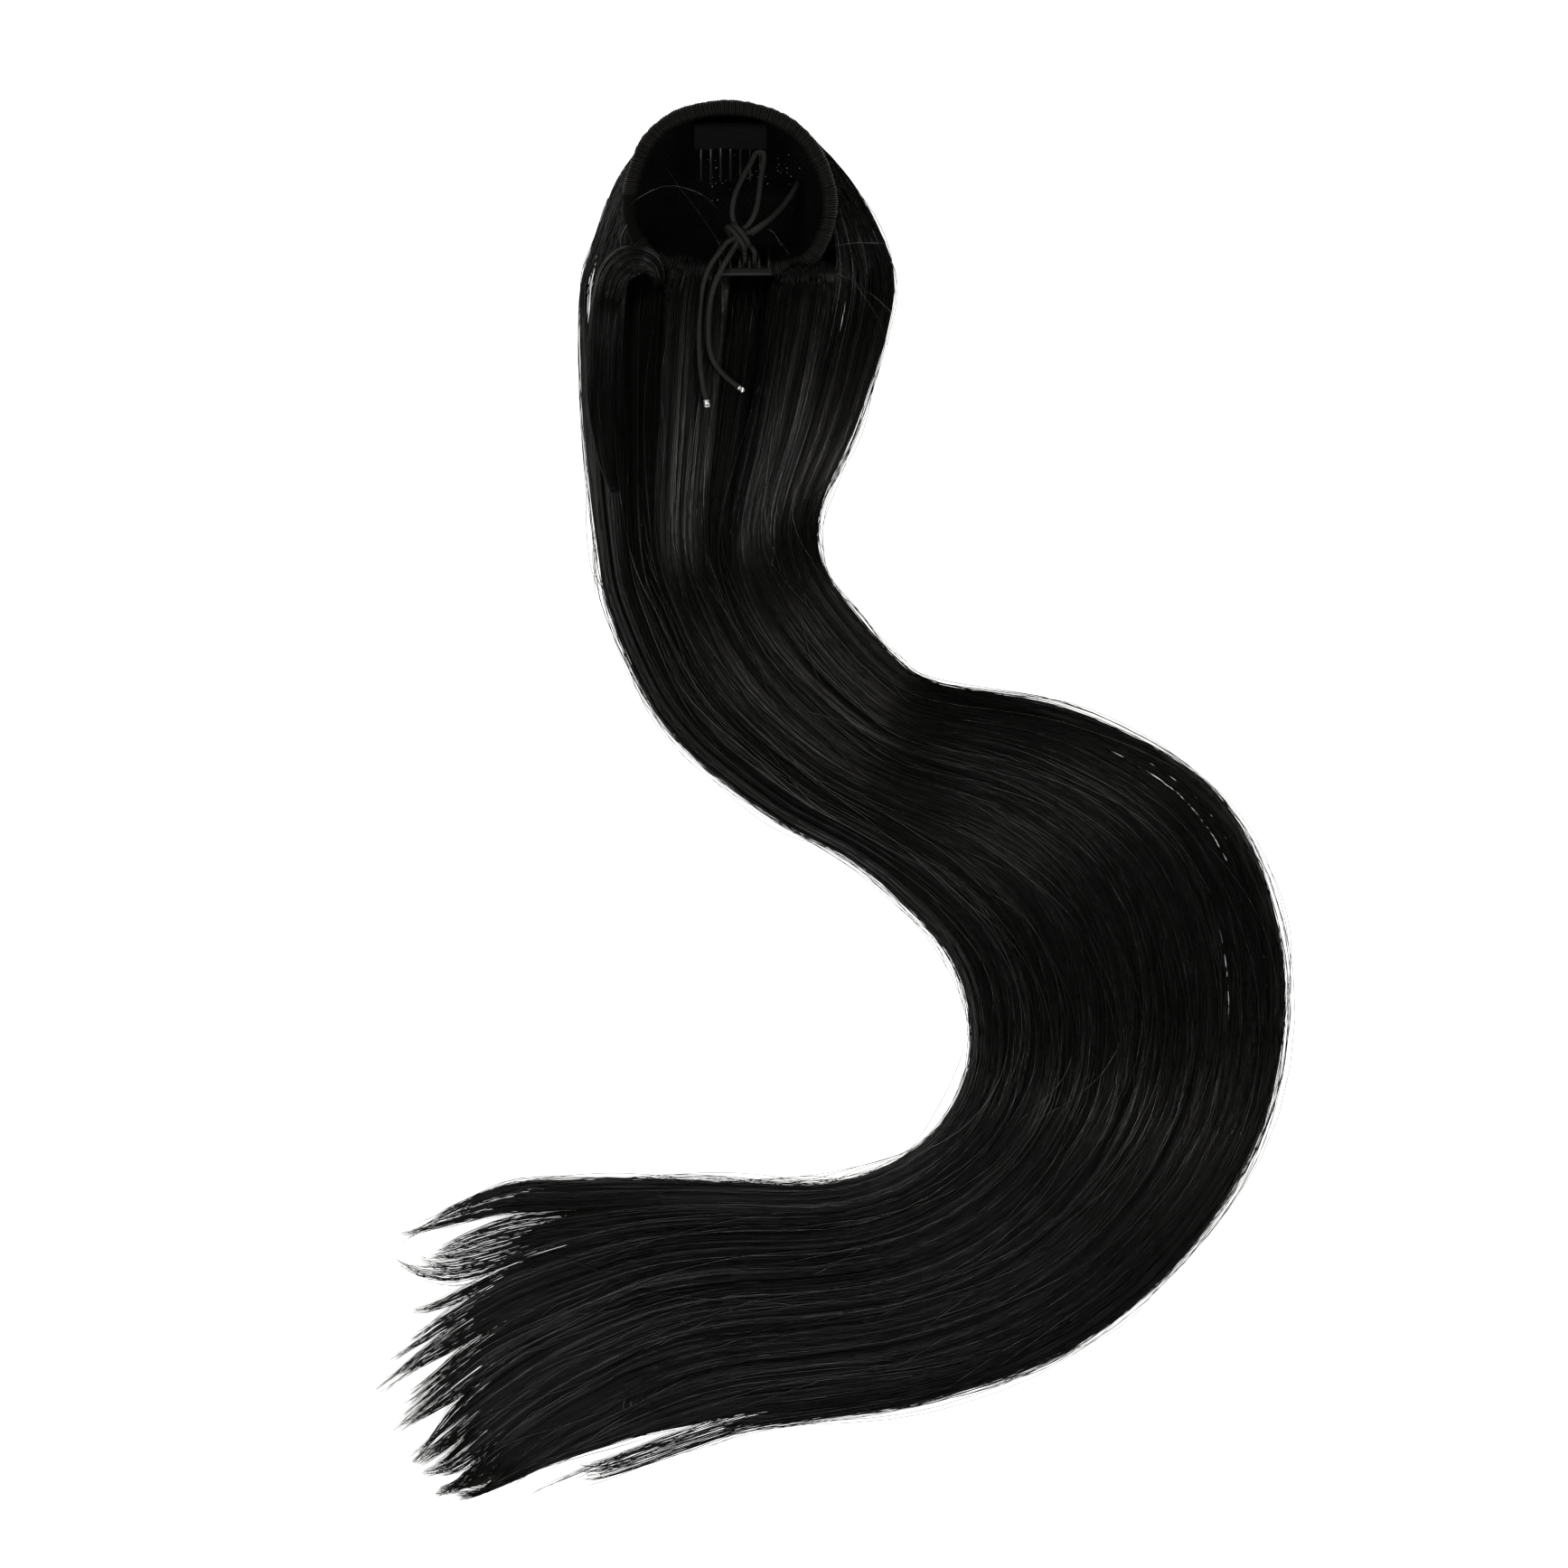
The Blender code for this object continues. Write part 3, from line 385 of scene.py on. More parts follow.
# The stretch inside the casing, from root to root.
rim_outline = (
    (-30.5, 200.3), (-48.0, 200.6), (-62.0, 202.6), (-72.0, 208.3), (-77.8, 218.5), (-79.0, 229.0),
    (-77.0, 240.0), (-71.5, 253.0), (-62.0, 261.8), (-50.0, 266.2), (-38.0, 267.4), (-25.5, 265.4),
    (-14.0, 260.2), (-6.0, 252.7), (-0.5, 243.0), (2.6, 232.0), (2.2, 221.5), (-1.5, 211.0),
    (-7.5, 204.2), (-17.0, 200.9),
)
cap_centre = np.array((-38.0, 233.5))


def rim_line(count, inset, start=0.0, end=1.0):
    """Plan points round the rim, moved inwards by an inset, from the middle of its front mouth."""
    rows = np.array((*rim_outline, rim_outline[0]))
    fine = curve_rows(rows, np.linspace(0, len(rows) - 1, 1200))
    run = np.concatenate([[0.0], np.cumsum(np.linalg.norm(np.diff(fine, axis=0), axis=1))])
    evenly = np.linspace(0, run[-1], 601)
    ring = np.stack([np.interp(evenly, run, column) for column in fine.T], axis=1)[:-1]
    along = np.roll(ring, -1, axis=0) - np.roll(ring, 1, axis=0)
    along /= np.linalg.norm(along, axis=1)[:, None]
    inwards = np.stack([-along[:, 1], along[:, 0]], axis=1)
    inwards *= np.sign(((cap_centre - ring) * inwards).sum(axis=1))[:, None]
    moved = ring + inwards * inset
    moved = np.vstack([moved, moved[:1]])
    run = np.concatenate([[0.0], np.cumsum(np.linalg.norm(np.diff(moved, axis=0), axis=1))])
    wanted = np.linspace(start, end, count) * run[-1]
    return np.stack([np.interp(wanted, run, column) for column in moved.T], axis=1)


casing_z = 36.5
casing_half_width = 2.75
half_mouth = 6.0
whole_rim = rim_line(300, casing_half_width)
mouth_share = half_mouth / np.linalg.norm(np.diff(whole_rim, axis=0), axis=1).sum()
casing_line = rim_line(300, casing_half_width, mouth_share, 1 - mouth_share)
inside_casing = np.column_stack([casing_line, np.full(300, casing_z)])
left_way_in = even_route(np.array(left_root), 24)[:0:-1]
right_way_out = even_route(np.array(right_root), 24)[1:]
ring_route = np.vstack([left_way_in, inside_casing[2:-2], right_way_out])
points, faces = tube_rings(ring_route[None], np.full((1, len(ring_route)), cord_radius), 12)
attach(joined_mesh("cord_in_casing", points, faces, braid), "cord", "drawstring_ring")

# Crimped metal ends, bright along their rims.
crimp = Finish("crimped metal", Metallic=1.0, Base_Color=(0.80, 0.80, 0.82, 1.0), Roughness=0.2)
crimp.grained(1500.0, 0.1, 0.0001)
# Distance along the crimp and its radius there.
crimp_profile = (
    (0.00, 1.02), (0.06, 1.28), (0.30, 1.35), (0.75, 1.33), (0.95, 1.12), (1.15, 1.10),
    (1.35, 1.30), (2.40, 1.35), (2.80, 1.30), (2.96, 1.12), (3.00, 0.80),
)
tips = {}
for name, route in (("left", left_tail), ("right", right_tail)):
    line = even_route(np.array(route), 60)
    heading = line[-1] - line[-2]
    heading /= np.linalg.norm(heading)
    steps = np.array(crimp_profile)
    spine = line[-1] + heading * (0.15 + steps[:, :1])
    points, faces = tube_rings(spine[None], steps[None, :, 1], 20)
    tips[name] = joined_mesh("cord_end_" + name, points, faces, crimp)
    attach(tips[name], "cord_tip", "cord_tip_" + name)

for name, far_end, with_pieces in (
    ("loop_tall", "knot", [knot]),
    ("loop_short", "object", []),
    ("tail_left", "fitting", [tips["left"]]),
    ("tail_right", "fitting", [tips["right"]]),
):
    line = cord_lines[name] * MM

# Rim casing. Elastic cloth rolled into a tube round the rim and closed all along with overcast
# stitches of black thread; its two hemmed ends leave a 12 mm mouth at the front for the cord.
casing_half_height = 2.4
casing_bore = 1.33
dice = np.random.default_rng(5)

casing_cloth = Finish("black elastic cloth", Roughness=0.85, Specular_IOR_Level=0.06)
casing_cloth.mottled(1400.0, (0.0012, 0.0012, 0.0011), (0.0040, 0.0038, 0.0035))
casing_cloth.grained(2200.0, 0.6, 0.0003, 5.0, 0.7)


def face_outwards(piece, crease=None):
    """Turn the faces of a closed piece outwards and, where asked, keep its sharper creases."""
    bpy.ops.object.select_all(action="DESELECT")
    bpy.context.view_layer.objects.active = piece
    piece.select_set(True)
    bpy.ops.object.mode_set(mode="EDIT")
    bpy.ops.mesh.select_all(action="SELECT")
    bpy.ops.mesh.normals_make_consistent(inside=False)
    bpy.ops.object.mode_set(mode="OBJECT")
    if crease:
        bpy.ops.object.shade_smooth_by_angle(angle=math.radians(crease))
    piece.select_set(False)


casing_sides = 20
casing_run = np.linspace(0, 1, len(casing_line))
casing_along = np.gradient(casing_line, axis=0)
casing_along /= np.linalg.norm(casing_along, axis=1)[:, None]
casing_outwards = np.column_stack([-casing_along[:, 1], casing_along[:, 0]])
casing_outwards *= np.sign(((casing_line - cap_centre) * casing_outwards).sum(axis=1))[:, None]
turns = np.arange(casing_sides) * 2 * math.pi / casing_sides
# The cloth puffs out between the stitches and is drawn in at its two hems.
puff = 1 + 0.035 * np.sin(casing_run * 290) + 0.03 * np.sin(casing_run * 71 + 1)
puff = puff + 0.02 * dice.normal(size=len(casing_run))
hem = np.minimum(1, np.minimum(casing_run, 1 - casing_run) * 60)
puff = np.minimum(puff, 1.06) * (0.9 + 0.1 * np.sqrt(hem))
shells = []
for wide, high, swell in (
    (casing_half_width, casing_half_height, puff),
    (casing_bore, casing_bore, np.ones(len(puff))),
):
    reach = wide * swell[:, None] * np.cos(turns)
    plan = casing_line[:, None] + casing_outwards[:, None] * reach[..., None]
    shells.append(at_heights(plan, casing_z + high * swell[:, None] * np.sin(turns)))
points = np.concatenate([shell.reshape(-1, 3) for shell in shells])
rings = len(casing_line)
corner = np.arange(casing_sides)
following = (corner + 1) % casing_sides
outer_walls = ring_walls(np.arange(rings - 1) * casing_sides, casing_sides, True)
inner_walls = outer_walls[:, ::-1] + rings * casing_sides
mouths = []
for ring, turned in ((0, False), (rings - 1, True)):
    outer = ring * casing_sides + corner
    beside = ring * casing_sides + following
    lip = np.stack([outer, outer + rings * casing_sides, beside + rings * casing_sides, beside], axis=1)
    mouths.append(lip[:, ::-1] if turned else lip)
faces = [np.vstack([outer_walls, inner_walls, *mouths])]
casing = joined_mesh("rim_casing_cloth", points, faces, casing_cloth)
face_outwards(casing)
attach(casing, "casing", "rim_casing")

stitch_thread = Finish("black overcast thread", Roughness=0.5, Specular_IOR_Level=0.25)
stitch_thread.mottled(700.0, (0.002, 0.002, 0.0018), (0.018, 0.0172, 0.0155))
stitches = 260
stitch_steps = 12
stitch_radius = 0.2
stitch_end_radius = 0.08
# Between these shares of the rim the casing is rolled over and its stitches are out of sight.
rolled_over = (0.185, 0.27)
place = np.linspace(0.004, 0.996, stitches) + dice.normal(0, 0.0004, stitches)
place = place[(place < rolled_over[0]) | (place > rolled_over[1])]
stitches = len(place)
wrap = np.linspace(-0.55, math.pi + 0.55, stitch_steps)
slant = 0.9 + dice.normal(0, 0.15, stitches)
lean = (np.linspace(-0.5, 0.5, stitch_steps) * slant[:, None]) / 235
at = np.clip(place[:, None] + lean, 0, 1)
centre = np.stack([np.interp(at, casing_run, casing_line[:, axis]) for axis in (0, 1)], axis=2)
outwards = np.stack([np.interp(at, casing_run, casing_outwards[:, axis]) for axis in (0, 1)], axis=2)
swell = np.interp(at, casing_run, puff)[..., None]
plan = centre + outwards * swell * (casing_half_width + 0.1) * np.cos(wrap)[:, None]
raised = casing_z + swell[..., 0] * (casing_half_height + 0.1) * np.sin(wrap)
routes = at_heights(plan, raised)
along = np.stack([np.interp(at, casing_run, casing_along[:, axis]) for axis in (0, 1)], axis=2)
sideways = at_heights(along, np.zeros(along.shape[:2]))
thickness = np.full(routes.shape[:2], stitch_radius) * (1 + dice.normal(0, 0.12, stitches))[:, None]
thickness[:, (0, -1)] = stitch_end_radius
points, faces = tube_rings(routes, thickness, 4, sideways=sideways)
attach(joined_mesh("rim_casing_stitches", points, faces, stitch_thread), "casing")

# Net bowl. A soft cup of knitted mesh hangs from the casing; rows of sewn hair cross it behind
# a fine diamond net, whose tiny knots of clear-coated thread catch the light; their light grey colour is
# painted glint.
bowl_bottom = 9.0
bowl_top = casing_z - casing_half_height - 0.3
bowl_wall = 1.2
bowl_power = 3.2
half_cap = 38
bowl_rim = rim_line(97, casing_half_width)[:-1]
rim_angle = np.arctan2(bowl_rim[:, 1] - cap_centre[1], bowl_rim[:, 0] - cap_centre[0])
rim_order = np.argsort(rim_angle)
rim_reach = np.linalg.norm(bowl_rim - cap_centre, axis=1)


def rim_share(x, y):
    """How far a plan point lies from the bowl's centre, as a share of the way to its rim."""
    angle = np.arctan2(y - cap_centre[1], x - cap_centre[0])
    reach = np.interp(angle, rim_angle[rim_order], rim_reach[rim_order], period=2 * math.pi)
    return np.hypot(x - cap_centre[0], y - cap_centre[1]) / reach


def bowl_height(share):
    return bowl_bottom + (bowl_top - bowl_bottom) * np.clip(share, 0, 1) ** bowl_power


bowl_rings = 28
bowl_sides = 96
shares = ((np.arange(bowl_rings) + 1) / bowl_rings) ** 0.7
spokes = bowl_rim - cap_centre
spoke_turn = np.arange(bowl_sides) * 2 * math.pi / bowl_sides
sag = 0.25 * np.sin(5 * spoke_turn)[None] * np.sin(math.pi * shares)[:, None]
outer = at_heights(cap_centre + spokes[None] * shares[:, None, None], bowl_height(shares)[:, None] + sag)
slope = np.arctan(np.gradient(bowl_height(shares), shares * rim_reach.mean()))
inset = spokes / np.linalg.norm(spokes, axis=1)[:, None]
inner = outer.copy()
inner[..., :2] -= inset[None] * (bowl_wall * np.sin(slope))[:, None, None]
inner[..., 2] += (bowl_wall * np.cos(slope))[:, None]
inner[-1, :, 2] = bowl_top
middles = [(*cap_centre, bowl_bottom), (*cap_centre, bowl_bottom + bowl_wall)]
points = np.vstack([middles, outer.reshape(-1, 3), inner.reshape(-1, 3)])
side = np.arange(bowl_sides)
beside = (side + 1) % bowl_sides
to_inner = bowl_rings * bowl_sides
outer_walls = ring_walls(2 + np.arange(bowl_rings - 1) * bowl_sides, bowl_sides)
inner_walls = outer_walls[:, ::-1] + to_inner
edge = 2 + (bowl_rings - 1) * bowl_sides
lip = np.stack([edge + side, edge + to_inner + side, edge + to_inner + beside, edge + beside], axis=1)
floor_fan = np.stack([np.zeros(bowl_sides, int), 2 + side, 2 + beside], axis=1)
top_fan = np.stack([np.ones(bowl_sides, int), 2 + to_inner + beside, 2 + to_inner + side], axis=1)
bowl_cloth = Finish("black knitted mesh", Roughness=0.9, Specular_IOR_Level=0.05)
to_edge = {"feature": "DISTANCE_TO_EDGE"}
weave = bowl_cloth.node("ShaderNodeTexVoronoi", to_edge, Vector=bowl_cloth.places(), Scale=900.0)
holes = bowl_cloth.remap(bowl_cloth.output(weave, "Distance"), 0.02, 0.12, 1.0, 0.0)
bowl_cloth.set(Base_Color=bowl_cloth.between(holes, (0.0010, 0.0010, 0.0010), (0.0052, 0.0050, 0.0052)))
bowl_cloth.relief(holes, 0.6, 0.0003)
faces = [np.vstack([outer_walls, inner_walls, lip]), np.vstack([floor_fan, top_fan])]
bowl = joined_mesh("cap_net_bowl", points, faces, bowl_cloth)
face_outwards(bowl)
attach(bowl, "net", "cap_net")


def on_bowl(plan, above):
    """Points over a plan position on the bowl's inner face, raised off it."""
    share = np.minimum(rim_share(plan[..., 0], plan[..., 1]), 0.985)
    steep = np.arctan((bowl_top - bowl_bottom) * bowl_power * share ** (bowl_power - 1) / half_cap)
    raised = bowl_height(share) + (bowl_wall + above) / np.cos(np.minimum(steep, 1.25))
    return at_heights(plan, np.minimum(raised, bowl_top + above))


net_thread = Finish("black net thread", Roughness=0.6, Specular_IOR_Level=0.15)
net_thread.mottled(500.0, (0.001, 0.001, 0.001), (0.012, 0.012, 0.0122))
net_slant = 0.95
net_spacing = 1.9
net_radius = 0.06
net_steps = 26
net_parts = []
for heading in (net_slant, -net_slant):
    for offset in np.arange(-40, 40.1, net_spacing):
        along = np.array((math.cos(heading), math.sin(heading)))
        beside = np.array((-along[1], along[0]))
        reach = np.linspace(-46, 46, 60)
        plan = cap_centre + beside * offset + along * reach[:, None]
        inside = rim_share(plan[:, 0], plan[:, 1]) < 0.95
        if inside.sum() < 4:
            continue
        ends = reach[inside][[0, -1]]
        reach = np.linspace(*ends, net_steps)
        swayed = offset + 0.12 * np.sin(reach * 1.7 + offset)
        plan = cap_centre + beside * swayed[:, None] + along * reach[:, None]
        net_parts.append(tube_rings(on_bowl(plan, 0.12)[None], np.full((1, net_steps), net_radius), 3))
points, faces = stack_meshes(net_parts)
attach(joined_mesh("cap_net_threads", points, faces, net_thread), "net")

# Sewn hair rows behind the net, seen as soft ridges across the bowl.
row_spacing = 6.5
row_radius = 0.6
row_parts = []
for y in np.arange(207, 262, row_spacing):
    x = np.linspace(-76, 0, 90)
    plan = np.column_stack([x, y + 1.2 * np.sin(x / 13 + y)])
    plan = plan[rim_share(plan[:, 0], plan[:, 1]) < 0.93]
    if len(plan) > 5:
        route = on_bowl(plan, -0.42)
        row_parts.append(tube_rings(route[None], np.full((1, len(plan)), row_radius), 8))
points, faces = stack_meshes(row_parts)
attach(joined_mesh("cap_net_weft_rows", points, faces, bowl_cloth), "net")

# Knots of the net near the back comb, clear-coated and glossy, coloured light grey as painted glints.
knot_with_painted_glint = Finish("clear-coated net knot with painted glint", Roughness=0.12, Coat_Weight=1.0, Coat_Roughness=0.08)
# Light grey base colour: painted glint on the knots, on top of the real gloss of their coat.
knot_with_painted_glint.mottled(300.0, (0.25, 0.25, 0.25), (0.85, 0.85, 0.86))
beads = 46
bead_spots = np.column_stack([dice.uniform(-47, -11, beads), dice.normal(240, 5.5, beads)])
bead_spots = bead_spots[rim_share(bead_spots[:, 0], bead_spots[:, 1]) < 0.8]
spots = on_bowl(bead_spots, 0.22)
bead_line = spots[:, None] + np.array((0.0, 0.0, 1.0)) * np.linspace(-0.16, 0.16, 5)[:, None]
bead_radius = np.outer(dice.uniform(0.7, 1.3, len(spots)), np.array((0.04, 0.13, 0.17, 0.13, 0.04)))
points, faces = tube_rings(bead_line, bead_radius, 6, sideways=(1.0, 0.0, 0.0))
attach(joined_mesh("cap_net_knots", points, faces, knot_with_painted_glint), "net")

# Back comb and its sleeve. The plastic comb's spine sits in a folded strip of plain cloth sewn
# under the casing; its seven round teeth slope down into the bowl.
comb_tilt = math.radians(35)
comb_origin = (-37.8, 258.0, 33.9)


def comb_place(x, depth, rise):
    """A point of the back comb: along the rim, down the slope of its teeth, out of its plane."""
    level, steep = math.cos(comb_tilt), math.sin(comb_tilt)
    y = comb_origin[1] - depth * level - rise * steep
    z = comb_origin[2] - depth * steep + rise * level
    return np.stack(np.broadcast_arrays(comb_origin[0] + x, y, z), axis=-1)


comb_plastic = Finish("glossy black plastic", Roughness=0.24, Specular_IOR_Level=0.7)
comb_plastic.mottled(160.0, (0.010, 0.010, 0.010), (0.022, 0.022, 0.023))
comb_plastic.grained(900.0, 0.12, 0.0001)


def moulded_bar(name, size, finish, bevel):
    """A bar added at its size in millimetres round the origin, its edges rounded."""
    bpy.ops.mesh.primitive_cube_add(size=1.0, location=(0, 0, 0))
    bar = bpy.context.active_object
    bar.name = name
    bar.data.name = name
    bar.scale = [side * MM for side in size]
    bpy.ops.object.transform_apply(location=False, rotation=False, scale=True)
    rounding = bar.modifiers.new("rounded edges", "BEVEL")
    rounding.width = bevel * MM
    rounding.segments = 4
    bpy.ops.object.modifier_apply(modifier=rounding.name)
    bpy.ops.object.shade_smooth_by_angle(angle=math.radians(50))
    bar.data.materials.append(finish.material)
    bar.select_set(False)
    return bar


def move_vertices(piece, place):
    """Each vertex of a piece goes where place puts it, in millimetres."""
    spots = np.array([corner.co for corner in piece.data.vertices]) / MM
    piece.data.vertices.foreach_set("co", (place(spots) * MM).astype(np.float32).ravel())
    piece.data.update()


spine = moulded_bar("comb_top_spine", (25.6, 3.5, 2.3), comb_plastic, 0.6)
move_vertices(spine, lambda spots: comb_place(spots[:, 0], 3.75 + spots[:, 1], spots[:, 2]))
attach(spine, "comb", "comb_top")
tooth_pitch = 3.75
tooth_x = (np.arange(7) - 3) * tooth_pitch
tooth_depth = np.linspace(4.6, 26.5, 22)
routes = comb_place(tooth_x[:, None], tooth_depth[None], 0.0)
tooth_radius = np.interp(tooth_depth, (4.6, 7.0, 24.5, 26.0, 26.5), (0.66, 0.62, 0.42, 0.3, 0.12))
radii = np.broadcast_to(tooth_radius, routes.shape[:2])
points, faces = tube_rings(routes, radii, 12, sideways=(1.0, 0.0, 0.0))
attach(joined_mesh("comb_top_teeth", points, faces, comb_plastic), "comb")

sleeve_cloth = Finish("black plain-woven cloth", Roughness=0.9, Specular_IOR_Level=0.08)
threads_per_metre = 14000.0
threads_x, threads_y = sleeve_cloth.split(sleeve_cloth.places())[:2]
warp = sleeve_cloth.maths("SINE", threads_x * threads_per_metre)
weft = sleeve_cloth.maths("SINE", threads_y * threads_per_metre)
sleeve_cloth.mottled(400.0, (0.0026, 0.0026, 0.0028), (0.0050, 0.0050, 0.0054))
sleeve_cloth.relief(warp * weft, 0.35, 0.0001)
sleeve_steps = 40
sleeve_x = np.linspace(-13.7, 13.7, sleeve_steps)
# The folded strip in section: depth down the comb and rise out of its plane, outside then inside.
fold = np.array((
    (9.4, -2.5), (6.0, -2.5), (2.5, -2.5), (0.6, -2.4), (0.0, -1.4), (0.0, 1.4), (0.6, 2.4),
    (2.5, 2.5), (6.0, 2.5), (9.4, 2.5), (9.4, 1.45), (6.0, 1.45), (2.5, 1.45), (1.2, 1.1),
    (1.05, 0.0), (1.2, -1.1), (2.5, -1.45), (6.0, -1.45), (9.4, -1.45),
))
sleeve_depth = fold[None, :, 0] + 0.22 * np.sin(sleeve_x / 2.3)[:, None] * (fold[None, :, 0] > 8)
sleeve_rise = fold[None, :, 1] * (1 - 0.05 * np.cos(sleeve_x / 3.1)[:, None])
points = comb_place(sleeve_x[:, None], sleeve_depth, sleeve_rise).reshape(-1, 3)
sides = len(fold)
corner = np.arange(sides)
walls = ring_walls(np.arange(sleeve_steps - 1) * sides, sides, True)
ends = np.vstack([corner[::-1], corner + (sleeve_steps - 1) * sides])
sleeve = joined_mesh("comb_top_sleeve_cloth", points, [walls, ends], sleeve_cloth)
face_outwards(sleeve, 40)
attach(sleeve, "sleeve", "comb_top_sleeve")

# Front comb. One moulding of satin black plastic: its bare spine is sewn over the casing's mouth,
# and six teeth bend down inside the bowl, behind the knot.
satin_plastic = Finish("satin black plastic", Roughness=0.4, Specular_IOR_Level=0.22)
satin_plastic.mottled(160.0, (0.004, 0.004, 0.004), (0.0085, 0.0085, 0.0089))
satin_plastic.grained(900.0, 0.1, 0.0001)
front_comb_x = -32.4
front_tooth_pitch = 3.7
front_tooth_steps = 24
front_spine = moulded_bar("comb_front_spine", (21.0, 3.2, 2.0), satin_plastic, 0.95)
move_vertices(front_spine, lambda spots: spots + np.array((front_comb_x, 202.0, 40.4)))
attach(front_spine, "comb", "comb_front")
front_tooth = np.array((
    (203.2, 40.6), (205.0, 41.0), (206.6, 40.4), (207.6, 38.4),
    (208.6, 34.0), (210.6, 29.3), (212.8, 24.8), (215.6, 20.5),
))
bend = even_route(front_tooth, front_tooth_steps)
front_x = front_comb_x + (np.arange(6) - 2.5) * front_tooth_pitch
routes = np.stack([np.column_stack([np.full(front_tooth_steps, x), bend]) for x in front_x])
along_tooth = np.linspace(0, 1, front_tooth_steps)
tooth_radius = np.interp(along_tooth, (0, 0.1, 0.85, 1.0), (0.75, 0.5, 0.38, 0.12))
radii = np.broadcast_to(tooth_radius, routes.shape[:2])
points, faces = tube_rings(routes, radii, 12, sideways=(1.0, 0.0, 0.0))
attach(joined_mesh("comb_front_teeth", points, faces, satin_plastic), "comb")

# Main bundle of hair. Straight black fibres, sewn in rows to the outside of the cap, lie in a
# sheet 100 to 160 mm wide and part into nine locks at the loose end. Strips of solid core fill
# the bundle, thin fibres cover it, and the floor shows through a few narrow slits.

# Each section: the plan points of its left side, its middle and its right side, and its height.
hair_sections = np.array((
    (-60, 261, -39, 264, -18, 261, 10), (-80, 239, -37, 240, 6, 239, 20),
    (-90, 214, -34, 213, 21, 213, 24), (-95, 191, -36, 189, 24, 191, 27),
    (-94, 146, -41, 145, 11, 146, 25), (-89, 99, -46, 105, -3.5, 113, 21),
    (-83, 71, -42, 81, -3, 91, 19), (-62, 29, -26, 51, 9, 73, 18),
    (-24, -3, 0, 26, 24, 56, 17), (10, -22, 25, 12, 41, 45, 16),
    (32, -42, 65, -3, 96, 34, 16), (46, -59, 98, -29, 150, 1, 15),
    (53, -79, 113, -69, 173, -58, 14), (53, -101, 110, -111, 166, -121, 14),
    (44, -121, 90, -147, 134, -173, 13.5), (29, -135, 60, -172, 91, -208, 13),
    (11, -143, 26, -186, 41, -227, 12.5), (-8, -146, -8, -191, -5, -235, 12),
    (-38, -145, -38, -193, -31, -239, 11.5), (-69, -144, -67, -199, -53, -246, 11),
    (-96, -145, -94, -211, -74, -253, 10), (-124, -148, -119, -226, -91, -258, 8.5),
    (-148, -158, -140, -243, -103, -260, 6.5), (-168, -170, -156, -263, -110, -261, 3),
), float)
last_section = len(hair_sections) - 1
half_bundle = 56.0
lock_edges = np.array((-1.0, -0.84, -0.68, -0.44, -0.22, 0.0, 0.2, 0.42, 0.88, 1.0))
# The section at which the locks on the two sides of each edge part.
edges_part = (None, 18.9, 21.0, 21.3, 21.6, 21.8, 21.8, 21.8, 17.6, None)
# Where the wisps of each lock end, in plan, from its upper edge to its lower edge.
lock_wisps = (
    ((-149.3, -155.5), (-148.8, -159.4), (-168.0, -169.4)),
    ((-150.0, -170.0), (-153.8, -173.6), (-170.4, -177.7)),
    ((-157.8, -189.4), (-163.3, -209.2), (-177.0, -226.7), (-160.1, -213.3)),
    ((-159.2, -225.0), (-163.3, -233.6), (-166.3, -241.5), (-161.9, -238.1)),
    ((-158.7, -248.5), (-161.5, -250.8), (-155.6, -253.0)),
    ((-149.3, -253.4), (-157.0, -255.5), (-148.0, -256.0)),
    ((-149.3, -263.8), (-151.8, -264.5), (-145.7, -259.7)),
    ((-142.5, -266.3), (-140.3, -262.9), (-124.0, -252.0), (-98.0, -236.5)),
    ((-81.6, -253.9), (-92.9, -253.4), (-95.9, -259.4)),
)
# Each slit: the line across the bundle that it follows, its two ends and its half width.
slits = (
    (-0.95, 2.15, 3.4, 0.02),
    (0.7, 2.7, 3.45, 0.0032),
    (0.82, 10.1, 11.7, 0.0052),
    (0.64, 11.6, 12.5, 0.0038),
)
slit_reach = 0.12
slit_sharpness = 1.7
dice = np.random.default_rng(21)
ripple_across = (9.0, 17.0, 29.0, 47.0, 83.0, 131.0)
ripple_rise = (0.5, 0.5, 0.46, 0.36, 0.24, 0.16)
ripple_phase = dice.uniform(0, 2 * math.pi, 6)
ripple_drift = dice.uniform(-0.5, 0.5, 6)


def bundle_plan(section, across):
    """The plan point at a section, from -1 on the bundle's left line to 1 on its right."""
    row = curve_rows(hair_sections, section)
    left, middle, right = row[..., 0:2], row[..., 2:4], row[..., 4:6]
    at = across[..., None]
    return left * at * (at - 1) / 2 + middle * (1 - at**2) + right * at * (at + 1) / 2


def bundle_height(section, across):
    full = curve_rows(hair_sections, section)[..., 6]
    return full * np.maximum(0.0, 1 - np.abs(across) ** 2.6) ** 0.55


def ripples(section, across):
    """The small ridges and hollows that neighbouring fibres share."""
    total = np.zeros(np.broadcast(section, across).shape)
    for frequency, rise, phase, drift in zip(ripple_across, ripple_rise, ripple_phase, ripple_drift):
        waver = 0.6 * np.sin(section * 0.9 + phase * 3)
        total += rise * np.sin(frequency * across + phase + drift * section + waver)
    return total


def part_slits(section, across, obeys=1.0):
    """across, moved aside where the hair parts in a narrow slit, unless a fibre crosses it."""
    moved = across
    for line, start, end, half_width in slits:
        run = np.clip((section - start) / (end - start), 0, 1)
        opening = half_width * np.sin(math.pi * run) ** slit_sharpness
        aside = across - line
        moved = moved + obeys * np.sign(aside) * opening * np.maximum(0, 1 - np.abs(aside) / slit_reach)
    return moved


def opened(section, edge):
    if edges_part[edge] is None:
        return None
    return np.clip((section - edges_part[edge]) / (last_section - edges_part[edge]), 0, 1)


